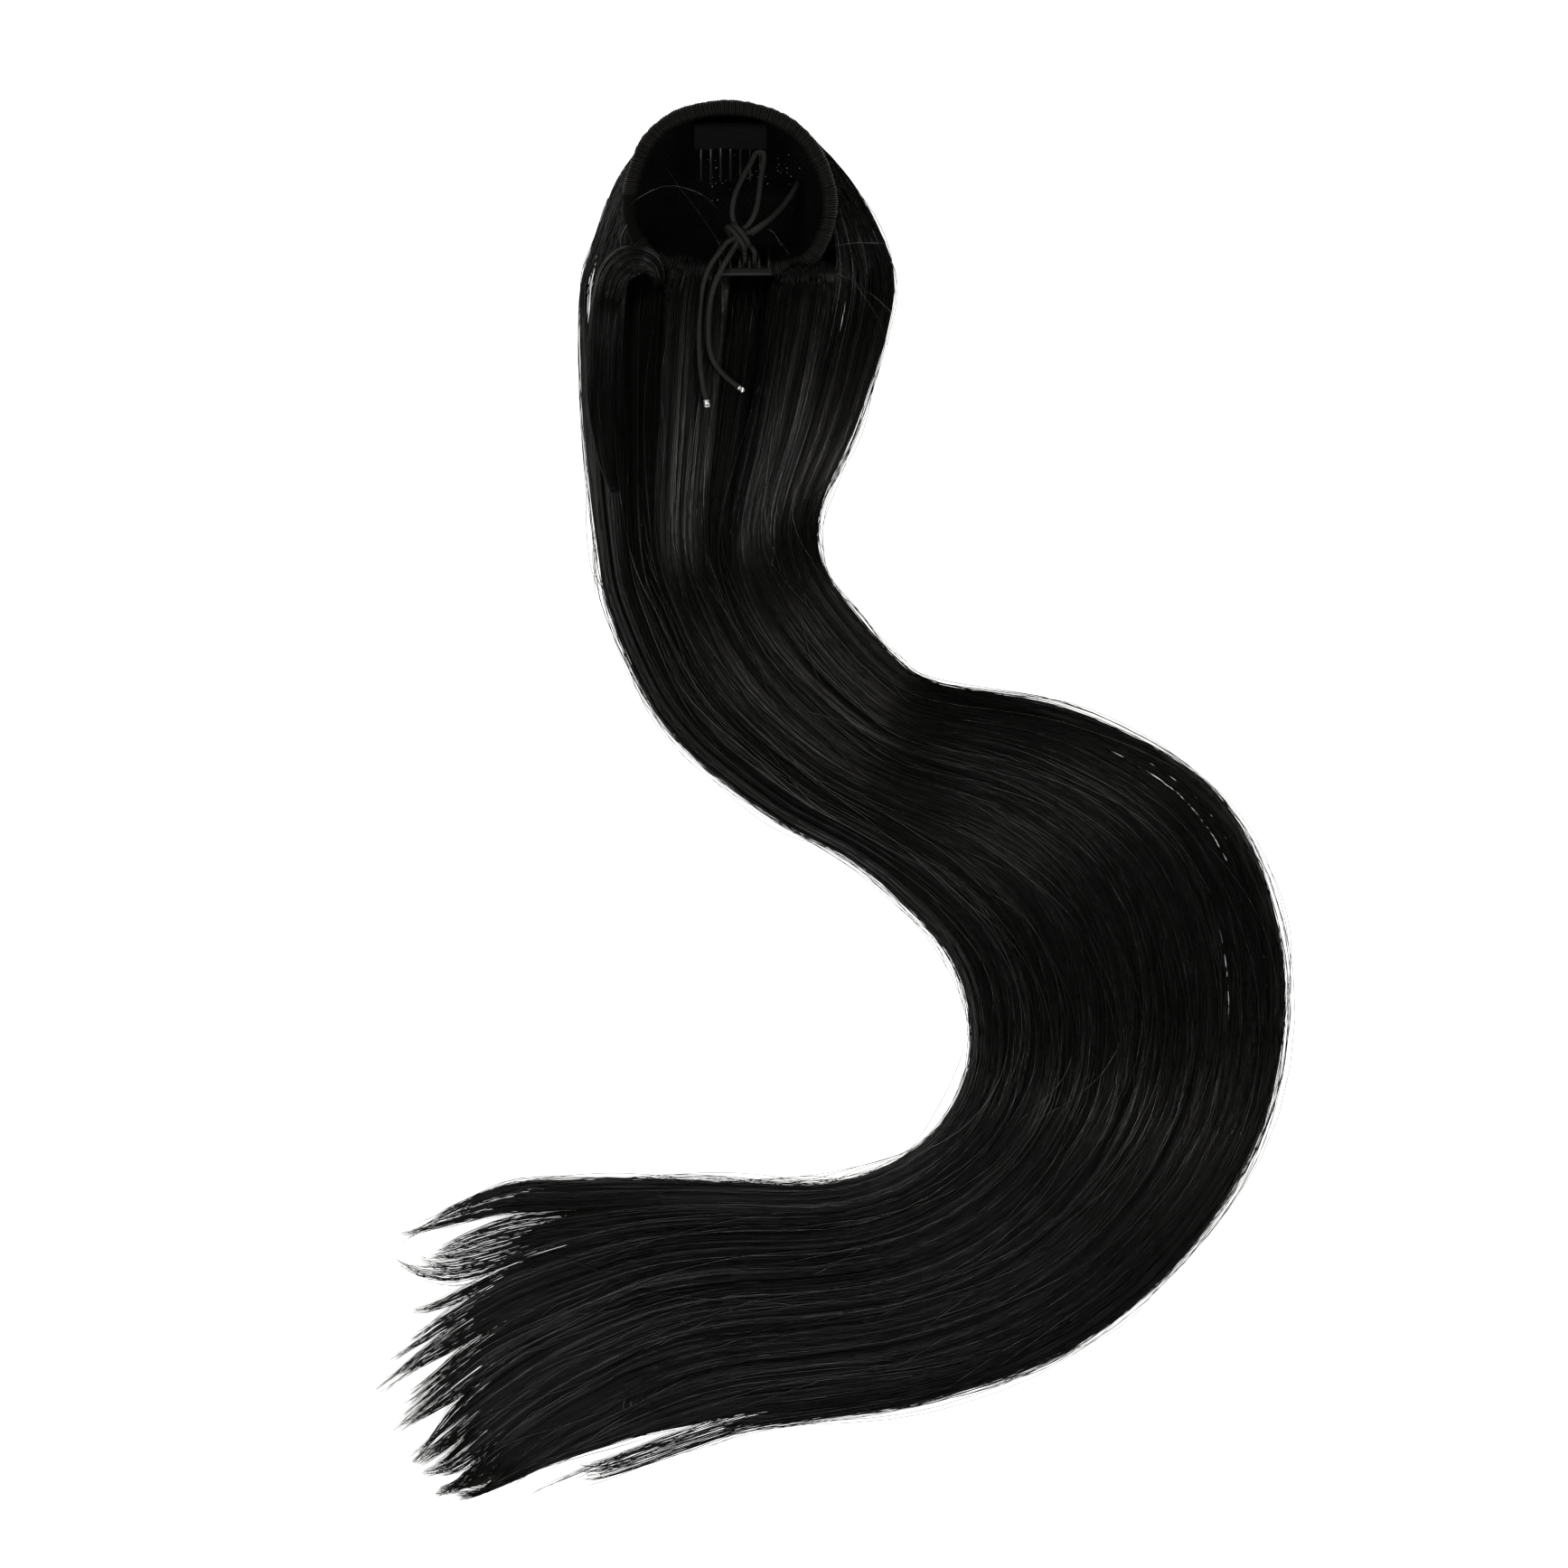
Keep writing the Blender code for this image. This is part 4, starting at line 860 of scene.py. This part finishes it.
def on_lock(lock, section, column, goal, obeys=1.0, narrow_to=0.5):
    """Points on top of one lock, whose lines run from column -1 at its upper edge to column 1.

    goal is the plan point that each line would reach at the last section.
    """
    upper, lower = lock_edges[lock], lock_edges[lock + 1]
    centre, half = (upper + lower) / 2, (lower - upper) / 2
    upper_open, lower_open = opened(section, lock), opened(section, lock + 1)
    upper_open = lower_open if upper_open is None else upper_open
    lower_open = upper_open if lower_open is None else lower_open
    share = np.clip((column + 1) / 2, 0, 1)
    settled = (1 - share) * upper_open + share * lower_open
    across = centre + column * half * (1 - (1 - narrow_to) * settled**1.3)
    end = bundle_plan(np.full(settled.shape, float(last_section)), centre + column * half * narrow_to)
    plan = bundle_plan(section, part_slits(section, np.clip(across, -1.02, 1.02), obeys))
    plan = plan + (goal - end) * (settled**2.0)[..., None]
    crease = 1 - 0.05 * np.minimum(np.abs(column), 1) ** 4
    joined = bundle_height(section, np.clip(across, -1, 1)) * crease
    roundness = np.sqrt(np.maximum(0, 1 - 0.92 * np.minimum(column**2, 1)))
    alone = bundle_height(section, np.full_like(across, centre)) * roundness
    blend = np.clip(2 * settled, 0, 1)
    return plan, 1.2 + joined * (1 - blend) + alone * blend, across


def under_cap(plan, height, clearance=0.6):
    """Heights held below the bowl and the casing where hair passes under the cap."""
    share = rim_share(plan[..., 0], plan[..., 1])
    rim = 1 + 2 * casing_half_width / half_cap
    under_casing = casing_z - casing_half_height - clearance
    roof = np.where(share < 1, bowl_height(share) - clearance, under_casing)
    return np.where(share < rim, np.minimum(height, roof), height)


hair = Finish("black straight hair", Roughness=0.36, Specular_IOR_Level=0.08)
hair_across, hair_along = hair.split(hair.places("UV"))[:2]
streaks = hair.node("ShaderNodeCombineXYZ", X=hair_across * 260.0, Y=hair_along * 6.0)
streaks = hair.noise(hair.output(streaks, "Vector"), 1.0, 5.0, 0.65)
hair.set(Base_Color=hair.between(streaks, (0.0004, 0.0004, 0.0003), (0.0020, 0.0019, 0.0016)))
hair.relief(streaks, 0.5, 0.0006)


def give_uv(piece, spots):
    """A UV map from one pair of numbers for each vertex."""
    layer = piece.data.uv_layers.new(name="UVMap")
    corners = np.zeros(len(piece.data.loops), np.int32)
    piece.data.loops.foreach_get("vertex_index", corners)
    layer.data.foreach_set("uv", spots[corners].astype(np.float32).ravel())


def core_strip(plan, top, floor):
    """Points and faces of a closed strip from rows of points along its top, with a flat floor."""
    below = at_heights(plan, np.broadcast_to(floor, top.shape))[:, ::-1]
    ring = np.concatenate([at_heights(plan, top), below], axis=1)
    rows, sides = ring.shape[:2]
    corner = np.arange(sides)
    ends = np.vstack([corner[::-1], corner + (rows - 1) * sides])
    return ring.reshape(-1, 3), [ring_walls(np.arange(rows - 1) * sides, sides, True), ends]


def strip_uv(across, along):
    """The UV pairs of such a strip, over its top and back along its floor."""
    spots = np.stack([across, along], axis=2)
    return np.concatenate([spots, spots[:, ::-1]], axis=1).reshape(-1, 2)


core_edges = (-1.0, -0.95, -0.84, -0.68, -0.44, -0.22, 0.0, 0.2, 0.42, 0.64, 0.7, 0.82, 0.88, 1.0)
core_rows = 116
core_taper = 0.9
# The section at which the core of each lock ends under its fibres.
core_ends = (21.5, 20.9, 21.6, 21.7, 21.8, 21.8, 21.7, 21.4, 18.4)
core_parts, core_uv = [], []
for upper, lower in zip(core_edges, core_edges[1:]):
    lock = int(np.searchsorted(lock_edges, (upper + lower) / 2)) - 1
    centre = (lock_edges[lock] + lock_edges[lock + 1]) / 2
    half = (lock_edges[lock + 1] - lock_edges[lock]) / 2
    core_end = core_ends[lock]
    columns = max(4, round((lower - upper) * half_bundle / 1.1))
    section = np.linspace(0, core_end, core_rows)[:, None] + np.zeros(columns)
    taper = np.clip((core_end - section) / core_taper, 0, 1)
    column = (np.linspace(upper + 1e-4, lower - 1e-4, columns) - centre) / half + np.zeros_like(section)
    ends_at = (upper + lower - 2 * centre) / 2 / half
    column = ends_at + (column - ends_at) * (0.08 + 0.92 * taper)
    wisps = np.array(lock_wisps[lock])
    goal = curve_rows(wisps, np.clip((column + 1) / 2, 0, 1) * (len(wisps) - 1))
    plan, height, across = on_lock(lock, section, column, goal)
    height = height + ripples(section, across) * np.minimum(1, height / 9) - 0.35
    height = np.maximum(under_cap(plan, height * (0.12 + 0.88 * taper)), 0.5)
    core_parts.append(core_strip(plan, height, 0.15))
    core_uv.append(strip_uv(across, section / last_section))
points, faces = stack_meshes(core_parts)
core = joined_mesh("hair_core", points, faces, hair)
give_uv(core, np.vstack(core_uv))
face_outwards(core)
attach(core, "hair", "hair_back")

fibre = Finish("black hair fibre", Specular_IOR_Level=0.16, Coat_Roughness=0.2)
tone = fibre.output(fibre.node("ShaderNodeAttribute", {"attribute_name": "tone"}), "Fac")
fibre.set(
    Base_Color=fibre.between(tone, (0.0003, 0.0003, 0.0002), (0.0110, 0.0102, 0.0088)),
    Roughness=fibre.remap(tone, 0.0, 0.6, 0.36, 0.26),
    Coat_Weight=fibre.remap(tone, 0.15, 0.7, 0.0, 0.8),
)


def fibres(name, routes, radii, shades, slot="hair", replaced=()):
    """One piece from many fibres, each with its own shade of black, or one for each step."""
    points, faces = tube_rings(routes, radii, 3)
    piece = joined_mesh(name, points, faces, fibre)
    layer = piece.data.attributes.new("tone", "FLOAT", "POINT")
    shades = np.broadcast_to(shades.reshape(len(routes), -1), routes.shape[:2])
    layer.data.foreach_set("value", np.repeat(shades.ravel(), 3).astype(np.float32))
    return attach(piece, slot, *replaced)


def fibre_shades(across):
    """Shades from 0 to 1: every fibre its own, and narrow bands of fibres lighter than others."""
    band = 0.5 + 0.3 * np.sin(across * 61 + 1.3) + 0.2 * np.sin(across * 143 + 4.0)
    return 0.75 * dice.uniform(0, 1, across.shape) ** 2 * np.clip(0.1 + 1.2 * band**1.5, 0, 1)


def drawn(low, high, count):
    """A random number for each fibre, in a column."""
    return dice.uniform(low, high, count)[:, None]


def thinned(run, thickness, count, tip=0.28):
    """Radii along fibres that taper to their tips over a share of their length."""
    return thickness * np.minimum(1, 0.25 + (1 - run) / tip) * drawn(0.75, 1.2, count)


# How loosely the fibres of each lock spread: the lowest is a thin, open wisp.
lock_loose = (1.0, 1.0, 1.0, 1.0, 1.0, 1.0, 1.0, 1.0, 2.6)
lock_clumps = []
for lock, wisps in enumerate(lock_wisps):
    clumps = max(4, round((lock_edges[lock + 1] - lock_edges[lock]) * half_bundle / 2.2))
    clump_columns = (np.arange(clumps) + 0.5) / clumps * 2 - 1
    tips_between = curve_rows(wisps, (clump_columns + 1) / 2 * (len(wisps) - 1))
    lock_clumps.append(tips_between + dice.normal(0, 1.3, (clumps, 2)))


def lock_fibres(lock, starts, ends, steps, thickness, gather=0.8, tip=0.07):
    """Routes, radii and shades of fibres that run down one lock and gather in its wisps."""
    count = len(starts)
    run = np.linspace(0, 1, steps)
    section = starts[:, None] + (ends - starts)[:, None] * run
    column = dice.uniform(-1.0, 1.0, count)
    strays_out = np.where(dice.uniform(0, 1, count) < 0.06, dice.uniform(0.0, 0.22, count), 0.0)
    column = column + np.sign(column) * strays_out
    clumps = lock_clumps[lock]
    clump = np.clip(((column + 1) / 2 * len(clumps)).astype(int), 0, len(clumps) - 1)
    goal = clumps[clump] + dice.normal(0, gather * lock_loose[lock], (count, 2))
    width = (lock_edges[lock + 1] - lock_edges[lock]) * half_bundle / 2
    length = drawn(1.3, 2.6, count)
    reach = dice.normal(0, 0.9 / width, count)[:, None]
    sway = reach * np.sin(section / length + drawn(0, 6.3, count))
    swayed = np.clip(column[:, None] + sway, -1.25, 1.25)
    obeys = np.where(dice.uniform(0, 1, count) < 0.93, 1.0, -0.3)[:, None]
    plan, height, across = on_lock(lock, section, swayed, goal[:, None], obeys, 0.5 * lock_loose[lock])
    deep = np.where(dice.uniform(0, 1, count) < 0.7, 1.0, dice.uniform(0.15, 1.0, count))[:, None]
    raised = (height + ripples(section, across) * np.minimum(1, height / 9)) * deep
    raised = np.maximum(under_cap(plan, raised + drawn(-0.1, 0.5, count)), 0.35)
    radii = thinned(run, thickness, count, tip)
    return at_heights(plan, raised), radii, fibre_shades(across[:, 0])


def gather_fibres(name, lots):
    routes, radii, shades = (np.concatenate(group) for group in zip(*lots))
    fibres(name, routes, radii, shades)


def lock_share(total, lock):
    """As many of a total of fibres as one lock's width takes; a loose lock holds fewer."""
    return int(total * (lock_edges[lock + 1] - lock_edges[lock]) / 2 / lock_loose[lock] ** 1.2)


long_fibres = 1240
long_fibre_radius = 0.165
for name, locks in (
    ("hair_fibres_left", (0, 1, 2, 3)),
    ("hair_fibres_middle", (4, 5, 6)),
    ("hair_fibres_right", (7, 8)),
):
    lots = []
    for lock in locks:
        count = lock_share(long_fibres, lock)
        side = abs(lock_edges[lock] + lock_edges[lock + 1]) / 2 > 0.5
        starts = dice.uniform(0.4, 1.6, count) if side else dice.uniform(2.4, 3.1, count)
        ends = last_section - 2.1 * dice.uniform(0, 1, count) ** 2.3
        lots.append(lock_fibres(lock, starts, ends, 44, long_fibre_radius))
    gather_fibres(name, lots)

# Ends of the locks: many more and finer fibres of uneven length, which taper into wisps.
end_fibres = 1500
end_fibre_radius = 0.12
lots = []
for lock in range(9):
    count = lock_share(end_fibres, lock)
    parts_by = max(place for place in edges_part[lock : lock + 2] if place is not None)
    starts = min(parts_by, 21.2) - dice.uniform(0.2, 2.2, count)
    ends = last_section - 1.5 * dice.uniform(0, 1, count) ** 1.6
    lots.append(lock_fibres(lock, starts, ends, 13, end_fibre_radius, 0.8, 0.28))
gather_fibres("hair_fibres_ends", lots)

# Shorter hair off the front of the rim. It is sewn to the inner edge of the casing, comes over
# it and falls onto the main bundle on both sides of the cord, where it thins out between the
# longer fibres.

# Each layer: its two edges across the bundle, where its ridge leans, the section it ends at and
# how high it stands.
front_layers = (
    ("left", -0.47, -0.03, -0.2, 6.1, 13.0),
    ("right", 0.18, 0.66, 0.05, 6.5, 12.0),
)
layer_start = 2.0
over_casing = casing_z + casing_half_height + 0.5


def layer_rise(section, share, lean, ends, full):
    """How far the shorter hair stands above the bundle. share runs from -1 to 1 across it."""
    fade = np.clip(1 - (section - layer_start) / (ends - layer_start), 0, 1)
    from_ridge = np.where(share < lean, (share - lean) / (1 + lean), (share - lean) / (1 - lean))
    crown = np.maximum(0, 1 - np.minimum(np.abs(from_ridge), 1) ** 2) ** 0.7
    return full * fade**2 * (3 - 2 * fade) * crown


def layer_ripples(section, across, rise):
    """The shorter hair's own ridges, which fade where it lies flat."""
    return ripples(section * 1.5, across * 1.3) * np.minimum(1, rise / 4)


for side, low, high, lean, ends, full in front_layers:
    middle, half = (low + high) / 2, (high - low) / 2
    section = np.linspace(2.58, ends - 0.4, 60)[:, None] + np.zeros(30)
    share = np.linspace(-1, 1, 30) + np.zeros_like(section)
    across = middle + share * half
    base = 0.9 + bundle_height(section, across) + ripples(section, across) * 0.8
    rise = layer_rise(section, share, lean, ends, full)
    top = base + rise + layer_ripples(section, across, rise)
    points, faces = core_strip(bundle_plan(section, across), top, base - 1.5)
    piece = joined_mesh("hair_front_core_" + side, points, faces, hair)
    give_uv(piece, strip_uv(across * 1.3, section / last_section))
    attach(piece, "hair", "hair_front_" + side)

count = 470
front_fibre_radius = 0.16
run = np.linspace(0, 1, 30)
for side, low, high, lean, ends, full in front_layers:
    middle, half = (low + high) / 2, (high - low) / 2
    stops = dice.uniform(ends - 0.6, ends + 6.0, count)
    place = drawn(-1.02, 1.02, count)
    # The root line follows the rim: straight on the left, curving up to the cord on the right.
    if side == "left":
        roots = 2.34 + 0.12 * place
    else:
        roots = 2.43 + 0.6 * np.maximum(0, -0.3 - place) ** 2 + 0.05 * np.sin(place * 7)
    roots = roots + drawn(-0.1, 0.1, count)
    section = roots + (stops[:, None] - roots) * run**1.3
    fanned = 0.74 + 0.26 * np.clip((section - roots) / 0.6, 0, 1) ** 0.6
    share = place * fanned * (1 + 0.12 * np.sin(section * 1.1 + 1.0))
    sway = np.sin(section * drawn(1.0, 2.2, count) + drawn(0, 6.3, count))
    share = share + dice.normal(0, 0.05, count)[:, None] * sway
    across = middle + share * half
    deep = drawn(0.5, 1.0, count) ** 0.5
    rise = layer_rise(section, share, lean, ends, full) * deep
    raised = 1.2 + bundle_height(section, across) + ripples(section, across) * 0.8 + rise
    raised = raised + layer_ripples(section, across, rise) + drawn(0.05, 0.5, count)
    turn_over = np.clip((section - 2.5) / 0.4, 0, 1)
    lifted = over_casing + drawn(0.0, 1.3, count) - 26 * turn_over**1.5
    routes = at_heights(bundle_plan(section, across), np.maximum(raised, lifted))
    # The shorter hair's tone is raised as painted sheen, with real gloss from the coat it drives, and
    # lowered near the roots as painted shade over their sheen.
    shades = np.clip(2.1 * fibre_shades(across[:, 0]), 0, 0.95)[:, None]
    shades = shades * np.clip((section - roots) / 0.6, 0.1, 1)
    radii = thinned(run, front_fibre_radius, count)
    fibres("hair_fibres_front_" + side, routes, radii, shades)

# Curl. A short lock of the same hair is sewn in at the rim's left corner. It springs up from
# there, arches over and joins the bundle: a solid core under loose fibres.

# Each section: its place and its half width and half thickness.
curl_sections = np.array((
    (-66.0, 197.0, 30.0, 1.8, 1.6), (-65.8, 200.6, 37.2, 2.6, 1.8), (-68.4, 205.2, 42.2, 3.8, 2.0),
    (-74.6, 206.6, 42.6, 4.5, 2.0), (-80.8, 202.6, 37.0, 4.7, 2.2), (-84.6, 194.0, 28.6, 4.7, 2.4),
    (-86.4, 181.0, 23.8, 4.9, 2.5), (-87.2, 165.0, 20.9, 4.8, 2.4), (-87.0, 148.0, 19.4, 4.2, 2.0),
    (-85.0, 131.0, 18.2, 2.8, 1.5), (-82.5, 118.0, 17.4, 1.2, 0.9),
))
curl_steps = 52
curl_sides = 20
curl_run = np.linspace(0, 1, curl_steps)
curl_line = even_route(curl_sections, curl_steps)
smoothed = np.convolve(np.pad(curl_line[:, 2], 3, mode="edge"), np.ones(7) / 7, mode="valid")
curl_line[6:, 2] = smoothed[6:]
curl_along = np.gradient(curl_line[:, :3], axis=0)
curl_along /= np.linalg.norm(curl_along, axis=1)[:, None]
curl_aside = np.cross(curl_along, (0.0, 0.0, 1.0))
curl_aside /= np.linalg.norm(curl_aside, axis=1)[:, None]
curl_above = np.cross(curl_aside, curl_along)
turn = np.arange(curl_sides) * 2 * math.pi / curl_sides
ring = (
    curl_line[:, None, :3]
    + curl_aside[:, None] * (0.86 * curl_line[:, 3:4] * np.cos(turn))[..., None]
    + curl_above[:, None] * (0.7 * curl_line[:, 4:5] * np.sin(turn))[..., None]
)
corner = np.arange(curl_sides)
walls = ring_walls(np.arange(curl_steps - 1) * curl_sides, curl_sides)
curl_ends = np.vstack([corner, corner[::-1] + (curl_steps - 1) * curl_sides])
curl_core = joined_mesh("hair_curl_core", ring.reshape(-1, 3), [walls, curl_ends], hair)
spots = np.stack([turn / 6.3 * 0.3 + 0 * curl_line[:, 3:4], 0.4 * curl_run[:, None] + 0 * turn], axis=2)
give_uv(curl_core, spots.reshape(-1, 2))
attach(curl_core, "hair", "hair_curl_left")
count = 210
turn = drawn(0, 2 * math.pi, count)
bushy = 1 + 0.15 * np.exp(-((curl_run - 0.25) / 0.12) ** 2)
reach = np.sqrt(dice.uniform(0.55, 1.2, count))[:, None] * bushy
sway = 0.1 * np.sin(9 * curl_run + turn * 5)
bounce = 0.4 * np.sin(9 * curl_run + drawn(0, 6.3, count)) * np.sin(math.pi * curl_run)
routes = (
    curl_line[None, :, :3]
    + curl_aside * (curl_line[:, 3] * (reach * np.cos(turn) + sway))[..., None]
    + curl_above * (curl_line[:, 4] * (reach * np.sin(turn) + sway) + bounce)[..., None]
)
# Painted shade: the fibres' tone is darker past the foot of the arch, where it runs in the shade of the
# rest.
painted_curl_shade = np.interp(curl_run, (0.36, 0.46, 0.72, 1.0), (1.0, 0.25, 0.35, 0.8))
shades = 0.7 * drawn(0.1, 1.0, count) ** 1.7 * painted_curl_shade
fibres("hair_fibres_curl", routes, thinned(curl_run, 0.15, count), shades)

# Hair off the sides and the back of the rim. It leaves the casing's outer edge and swings round
# into the flanks of the bundle, or hangs down behind the bowl and runs on beneath it.

# Each lot: the part of the rim that it leaves, as angles, where it comes to lie across the bundle,
# its number, how light its tone is and whether it passes under the cap. The right flank's lot is
# lighter as painted sheen, the left flank's darker as painted shade.
side_fibre_radius = 0.16
run = np.linspace(0, 1, 26)
lots = []
for low_turn, high_turn, low_across, high_across, count, tone_with_painted_light, tucked in (
    # Right flank: lighter tone, painted sheen.
    (-0.35, 0.75, 0.60, 1.0, 230, 1.3, False),
    # Left flank: darker tone, painted shade.
    (2.75, 3.75, -1.0, -0.72, 170, 0.5, False),
    (0.7, 2.8, 0.9, -0.9, 110, 0.8, True),
):
    turn = dice.uniform(low_turn, high_turn, count)
    apart = np.abs(np.angle(np.exp(1j * (rim_angle - turn[:, None]))))
    where = rim_reach[np.argmin(apart, axis=1)]
    root = np.column_stack([
        cap_centre[0] + np.cos(turn) * (where + 2.2),
        cap_centre[1] + np.sin(turn) * (where + 2.2),
        dice.uniform(34.3, 37.2, count),
    ])
    first = np.interp(root[:, 1], (190, 213, 239, 261), (3.0, 2.0, 1.0, 0.0))
    stops = dice.uniform(5.0, 11.0, count)
    section = first[:, None] + (stops - first)[:, None] * run**1.2
    position = (turn - low_turn) / (high_turn - low_turn)
    strewn = np.abs(position + dice.normal(0, 0.25, count))
    across = low_across + (high_across - low_across) * np.abs(1 - np.abs(1 - strewn))
    obeys = np.where(dice.uniform(0, 1, count) < 0.9, 1.0, -0.4)[:, None]
    plan = bundle_plan(section, part_slits(section, across[:, None] + 0 * section, obeys))
    raised = 1.2 + bundle_height(section, across[:, None]) + ripples(section, across[:, None])
    line = at_heights(plan, raised + drawn(0, 0.6, count))
    pull = np.clip(1 - (section - first[:, None]) / drawn(1.2, 2.8, count), 0, 1) ** 2
    line = line + (root[:, None] - line[:, :1]) * pull[..., None]
    if tucked:
        line[..., 2] = under_cap(line[..., :2], line[..., 2])
    lots.append((line, thinned(run, side_fibre_radius, count), tone_with_painted_light * fibre_shades(across)))
gather_fibres("hair_fibres_sides", lots)

# Flyaway hairs. Short and broken hairs stand off both outlines of the bundle, more of them where
# it bends.


def pointed(run, thickness, count):
    """Radii along hairs that are thin at both ends."""
    return thickness * np.minimum(1, 0.3 + 3 * np.minimum(run, 1 - run)) * np.ones((count, 1))


count = 480
flyaway_radius = 0.13
run = np.linspace(0, 1, 13)
edge = np.where(dice.uniform(0, 1, count) < 0.5, -1.0, 1.0)
starts = dice.uniform(1.5, 21.0, count)
left_bends = np.where(starts < 15, 6.6, 19.0)
right_bends = np.where(starts < 6, 3.0, 13.5)
bends = np.where(edge < 0, left_bends, right_bends)
starts = np.where(dice.uniform(0, 1, count) < 0.5, bends + dice.normal(0, 1.2, count), starts)
stops = np.minimum(starts + dice.uniform(0.8, 3.6, count), last_section - 0.2)
section = starts[:, None] + (stops - starts)[:, None] * run
bulge = np.where(dice.uniform(0, 1, count) < 0.7, 1.0, 0.0)[:, None]
wave = np.sin(math.pi * run) * bulge + run**2 * (1 - bulge)
width = dice.gamma(1.6, 1.0, count)[:, None]
# Past the lowest wisp the lower outline is that of the lock above it.
outline = edge * np.where((edge > 0) & (starts > 16.8), 0.855, 1.0)
inner = bundle_plan(section, 0.9 * outline[:, None] + 0 * section)
outer = bundle_plan(section, outline[:, None] + 0 * section)
outwards = outer - inner
outwards /= np.maximum(np.linalg.norm(outwards, axis=2, keepdims=True), 1e-6)
stands_off = drawn(-1.5, 0.4, count) + np.minimum(width, 5.0) * wave
plan = outer + outwards * stands_off[..., None]
raised = drawn(0.5, 4.5, count) + 0.5 * np.sin(section * 2)
routes = at_heights(plan, np.maximum(raised, 0.4))
fibres("hair_flyaways", routes, pointed(run, flyaway_radius, count), dice.uniform(0, 0.6, count))

# Stray hairs. Single long hairs have slipped out of their locks and lie across the top of the
# bundle, at a slant to the rest.
count = 170
stray_radius = 0.16
run = np.linspace(0, 1, 16)
starts = dice.uniform(3.0, 20.5, count)
stops = np.minimum(starts + dice.uniform(1.0, 4.0, count), last_section - 0.8)
section = starts[:, None] + (stops - starts)[:, None] * run
across = drawn(-0.8, 0.8, count) + dice.normal(0, 0.17, count)[:, None] * run
across = np.clip(across + 0.04 * np.sin(run * 5 + starts[:, None]), -0.95, 0.95)
raised = 1.9 + bundle_height(section, across) + ripples(section, across)
raised = raised + 0.5 * np.sin(math.pi * run)
for side, low, high, lean, ends, full in front_layers:
    share = (across - (low + high) / 2) / ((high - low) / 2)
    raised = raised + np.where(np.abs(share) < 1, layer_rise(section, share, lean, ends, full), 0.0)
routes = at_heights(bundle_plan(section, across), raised)
fibres("hair_strays", routes, pointed(run, stray_radius, count), dice.uniform(0.75, 1.0, count))

# Loose hairs. Single hairs that show in the photograph, each along its own line: across the cap,
# from the rim to the knot, from the right of the rim outwards and across the tail.
loose_hairs = (
    ((-80.0, 223.5, 38.0), (-72.0, 230.5, 41.0), (-61.4, 234.6, 42.5), (-49.0, 231.5, 41.0),
     (-40.7, 223.6, 37.5)),
    ((-63.1, 243.0, 31.0), (-57.0, 234.0, 33.0), (-49.0, 223.5, 36.0), (-42.4, 213.2, 38.5),
     (-39.0, 203.0, 40.0)),
    ((-2.1, 203.0, 38.5), (8.0, 199.0, 37.0), (16.0, 193.5, 31.0), (23.1, 187.3, 22.0)),
    ((0.0, 211.5, 38.0), (9.0, 213.0, 35.0), (20.7, 213.2, 24.0)),
    ((3.0, 205.0, 37.0), (10.0, 197.0, 35.0), (18.0, 185.0, 27.0), (23.0, 172.0, 18.0)),
    ((-76.0, 222.0, 38.5), (-79.5, 215.0, 38.0), (-79.0, 208.0, 37.0), (-77.5, 204.0, 36.0)),
    ((-41.0, 214.0, 39.5), (-42.8, 209.5, 40.0), (-42.2, 205.0, 39.5), (-44.0, 199.5, 39.0)),
    ((-22.0, 217.5, 40.0), (-18.5, 213.0, 39.0), (-15.0, 208.0, 38.0)),
    ((-25.0, 218.5, 40.5), (-21.5, 217.0, 40.0), (-18.5, 211.5, 38.5)),
    ((-23.5, 37.3, 22.5), (-8.0, 34.5, 22.5), (9.0, 29.5, 22.0), (28.3, 20.0, 21.0)),
    ((31.7, -164.6, 16.5), (34.5, -176.0, 16.5), (35.5, -189.0, 16.5), (38.6, -200.8, 16.5)),
    ((-78.7, -221.5, 14.0), (-78.2, -226.0, 14.2), (-79.0, -231.8, 14.0)),
    ((-76.3, -222.0, 14.0), (-75.8, -227.0, 14.2), (-76.0, -231.0, 14.0)),
    ((-74.0, -221.8, 14.0), (-74.2, -226.5, 14.2), (-73.6, -231.6, 14.0)),
    ((-71.8, -222.6, 14.0), (-71.5, -226.5, 14.2), (-72.2, -230.4, 14.0)),
)
loose_steps = 24
loose_radius = 0.16
routes = np.stack([even_route(np.array(hair_line), loose_steps) for hair_line in loose_hairs])
loose_shades = np.full(len(routes), 0.75)
loose_shades[3] = 0.3
radii = pointed(np.linspace(0, 1, loose_steps), loose_radius, len(routes))
fibres("hair_loose", routes, radii, loose_shades)
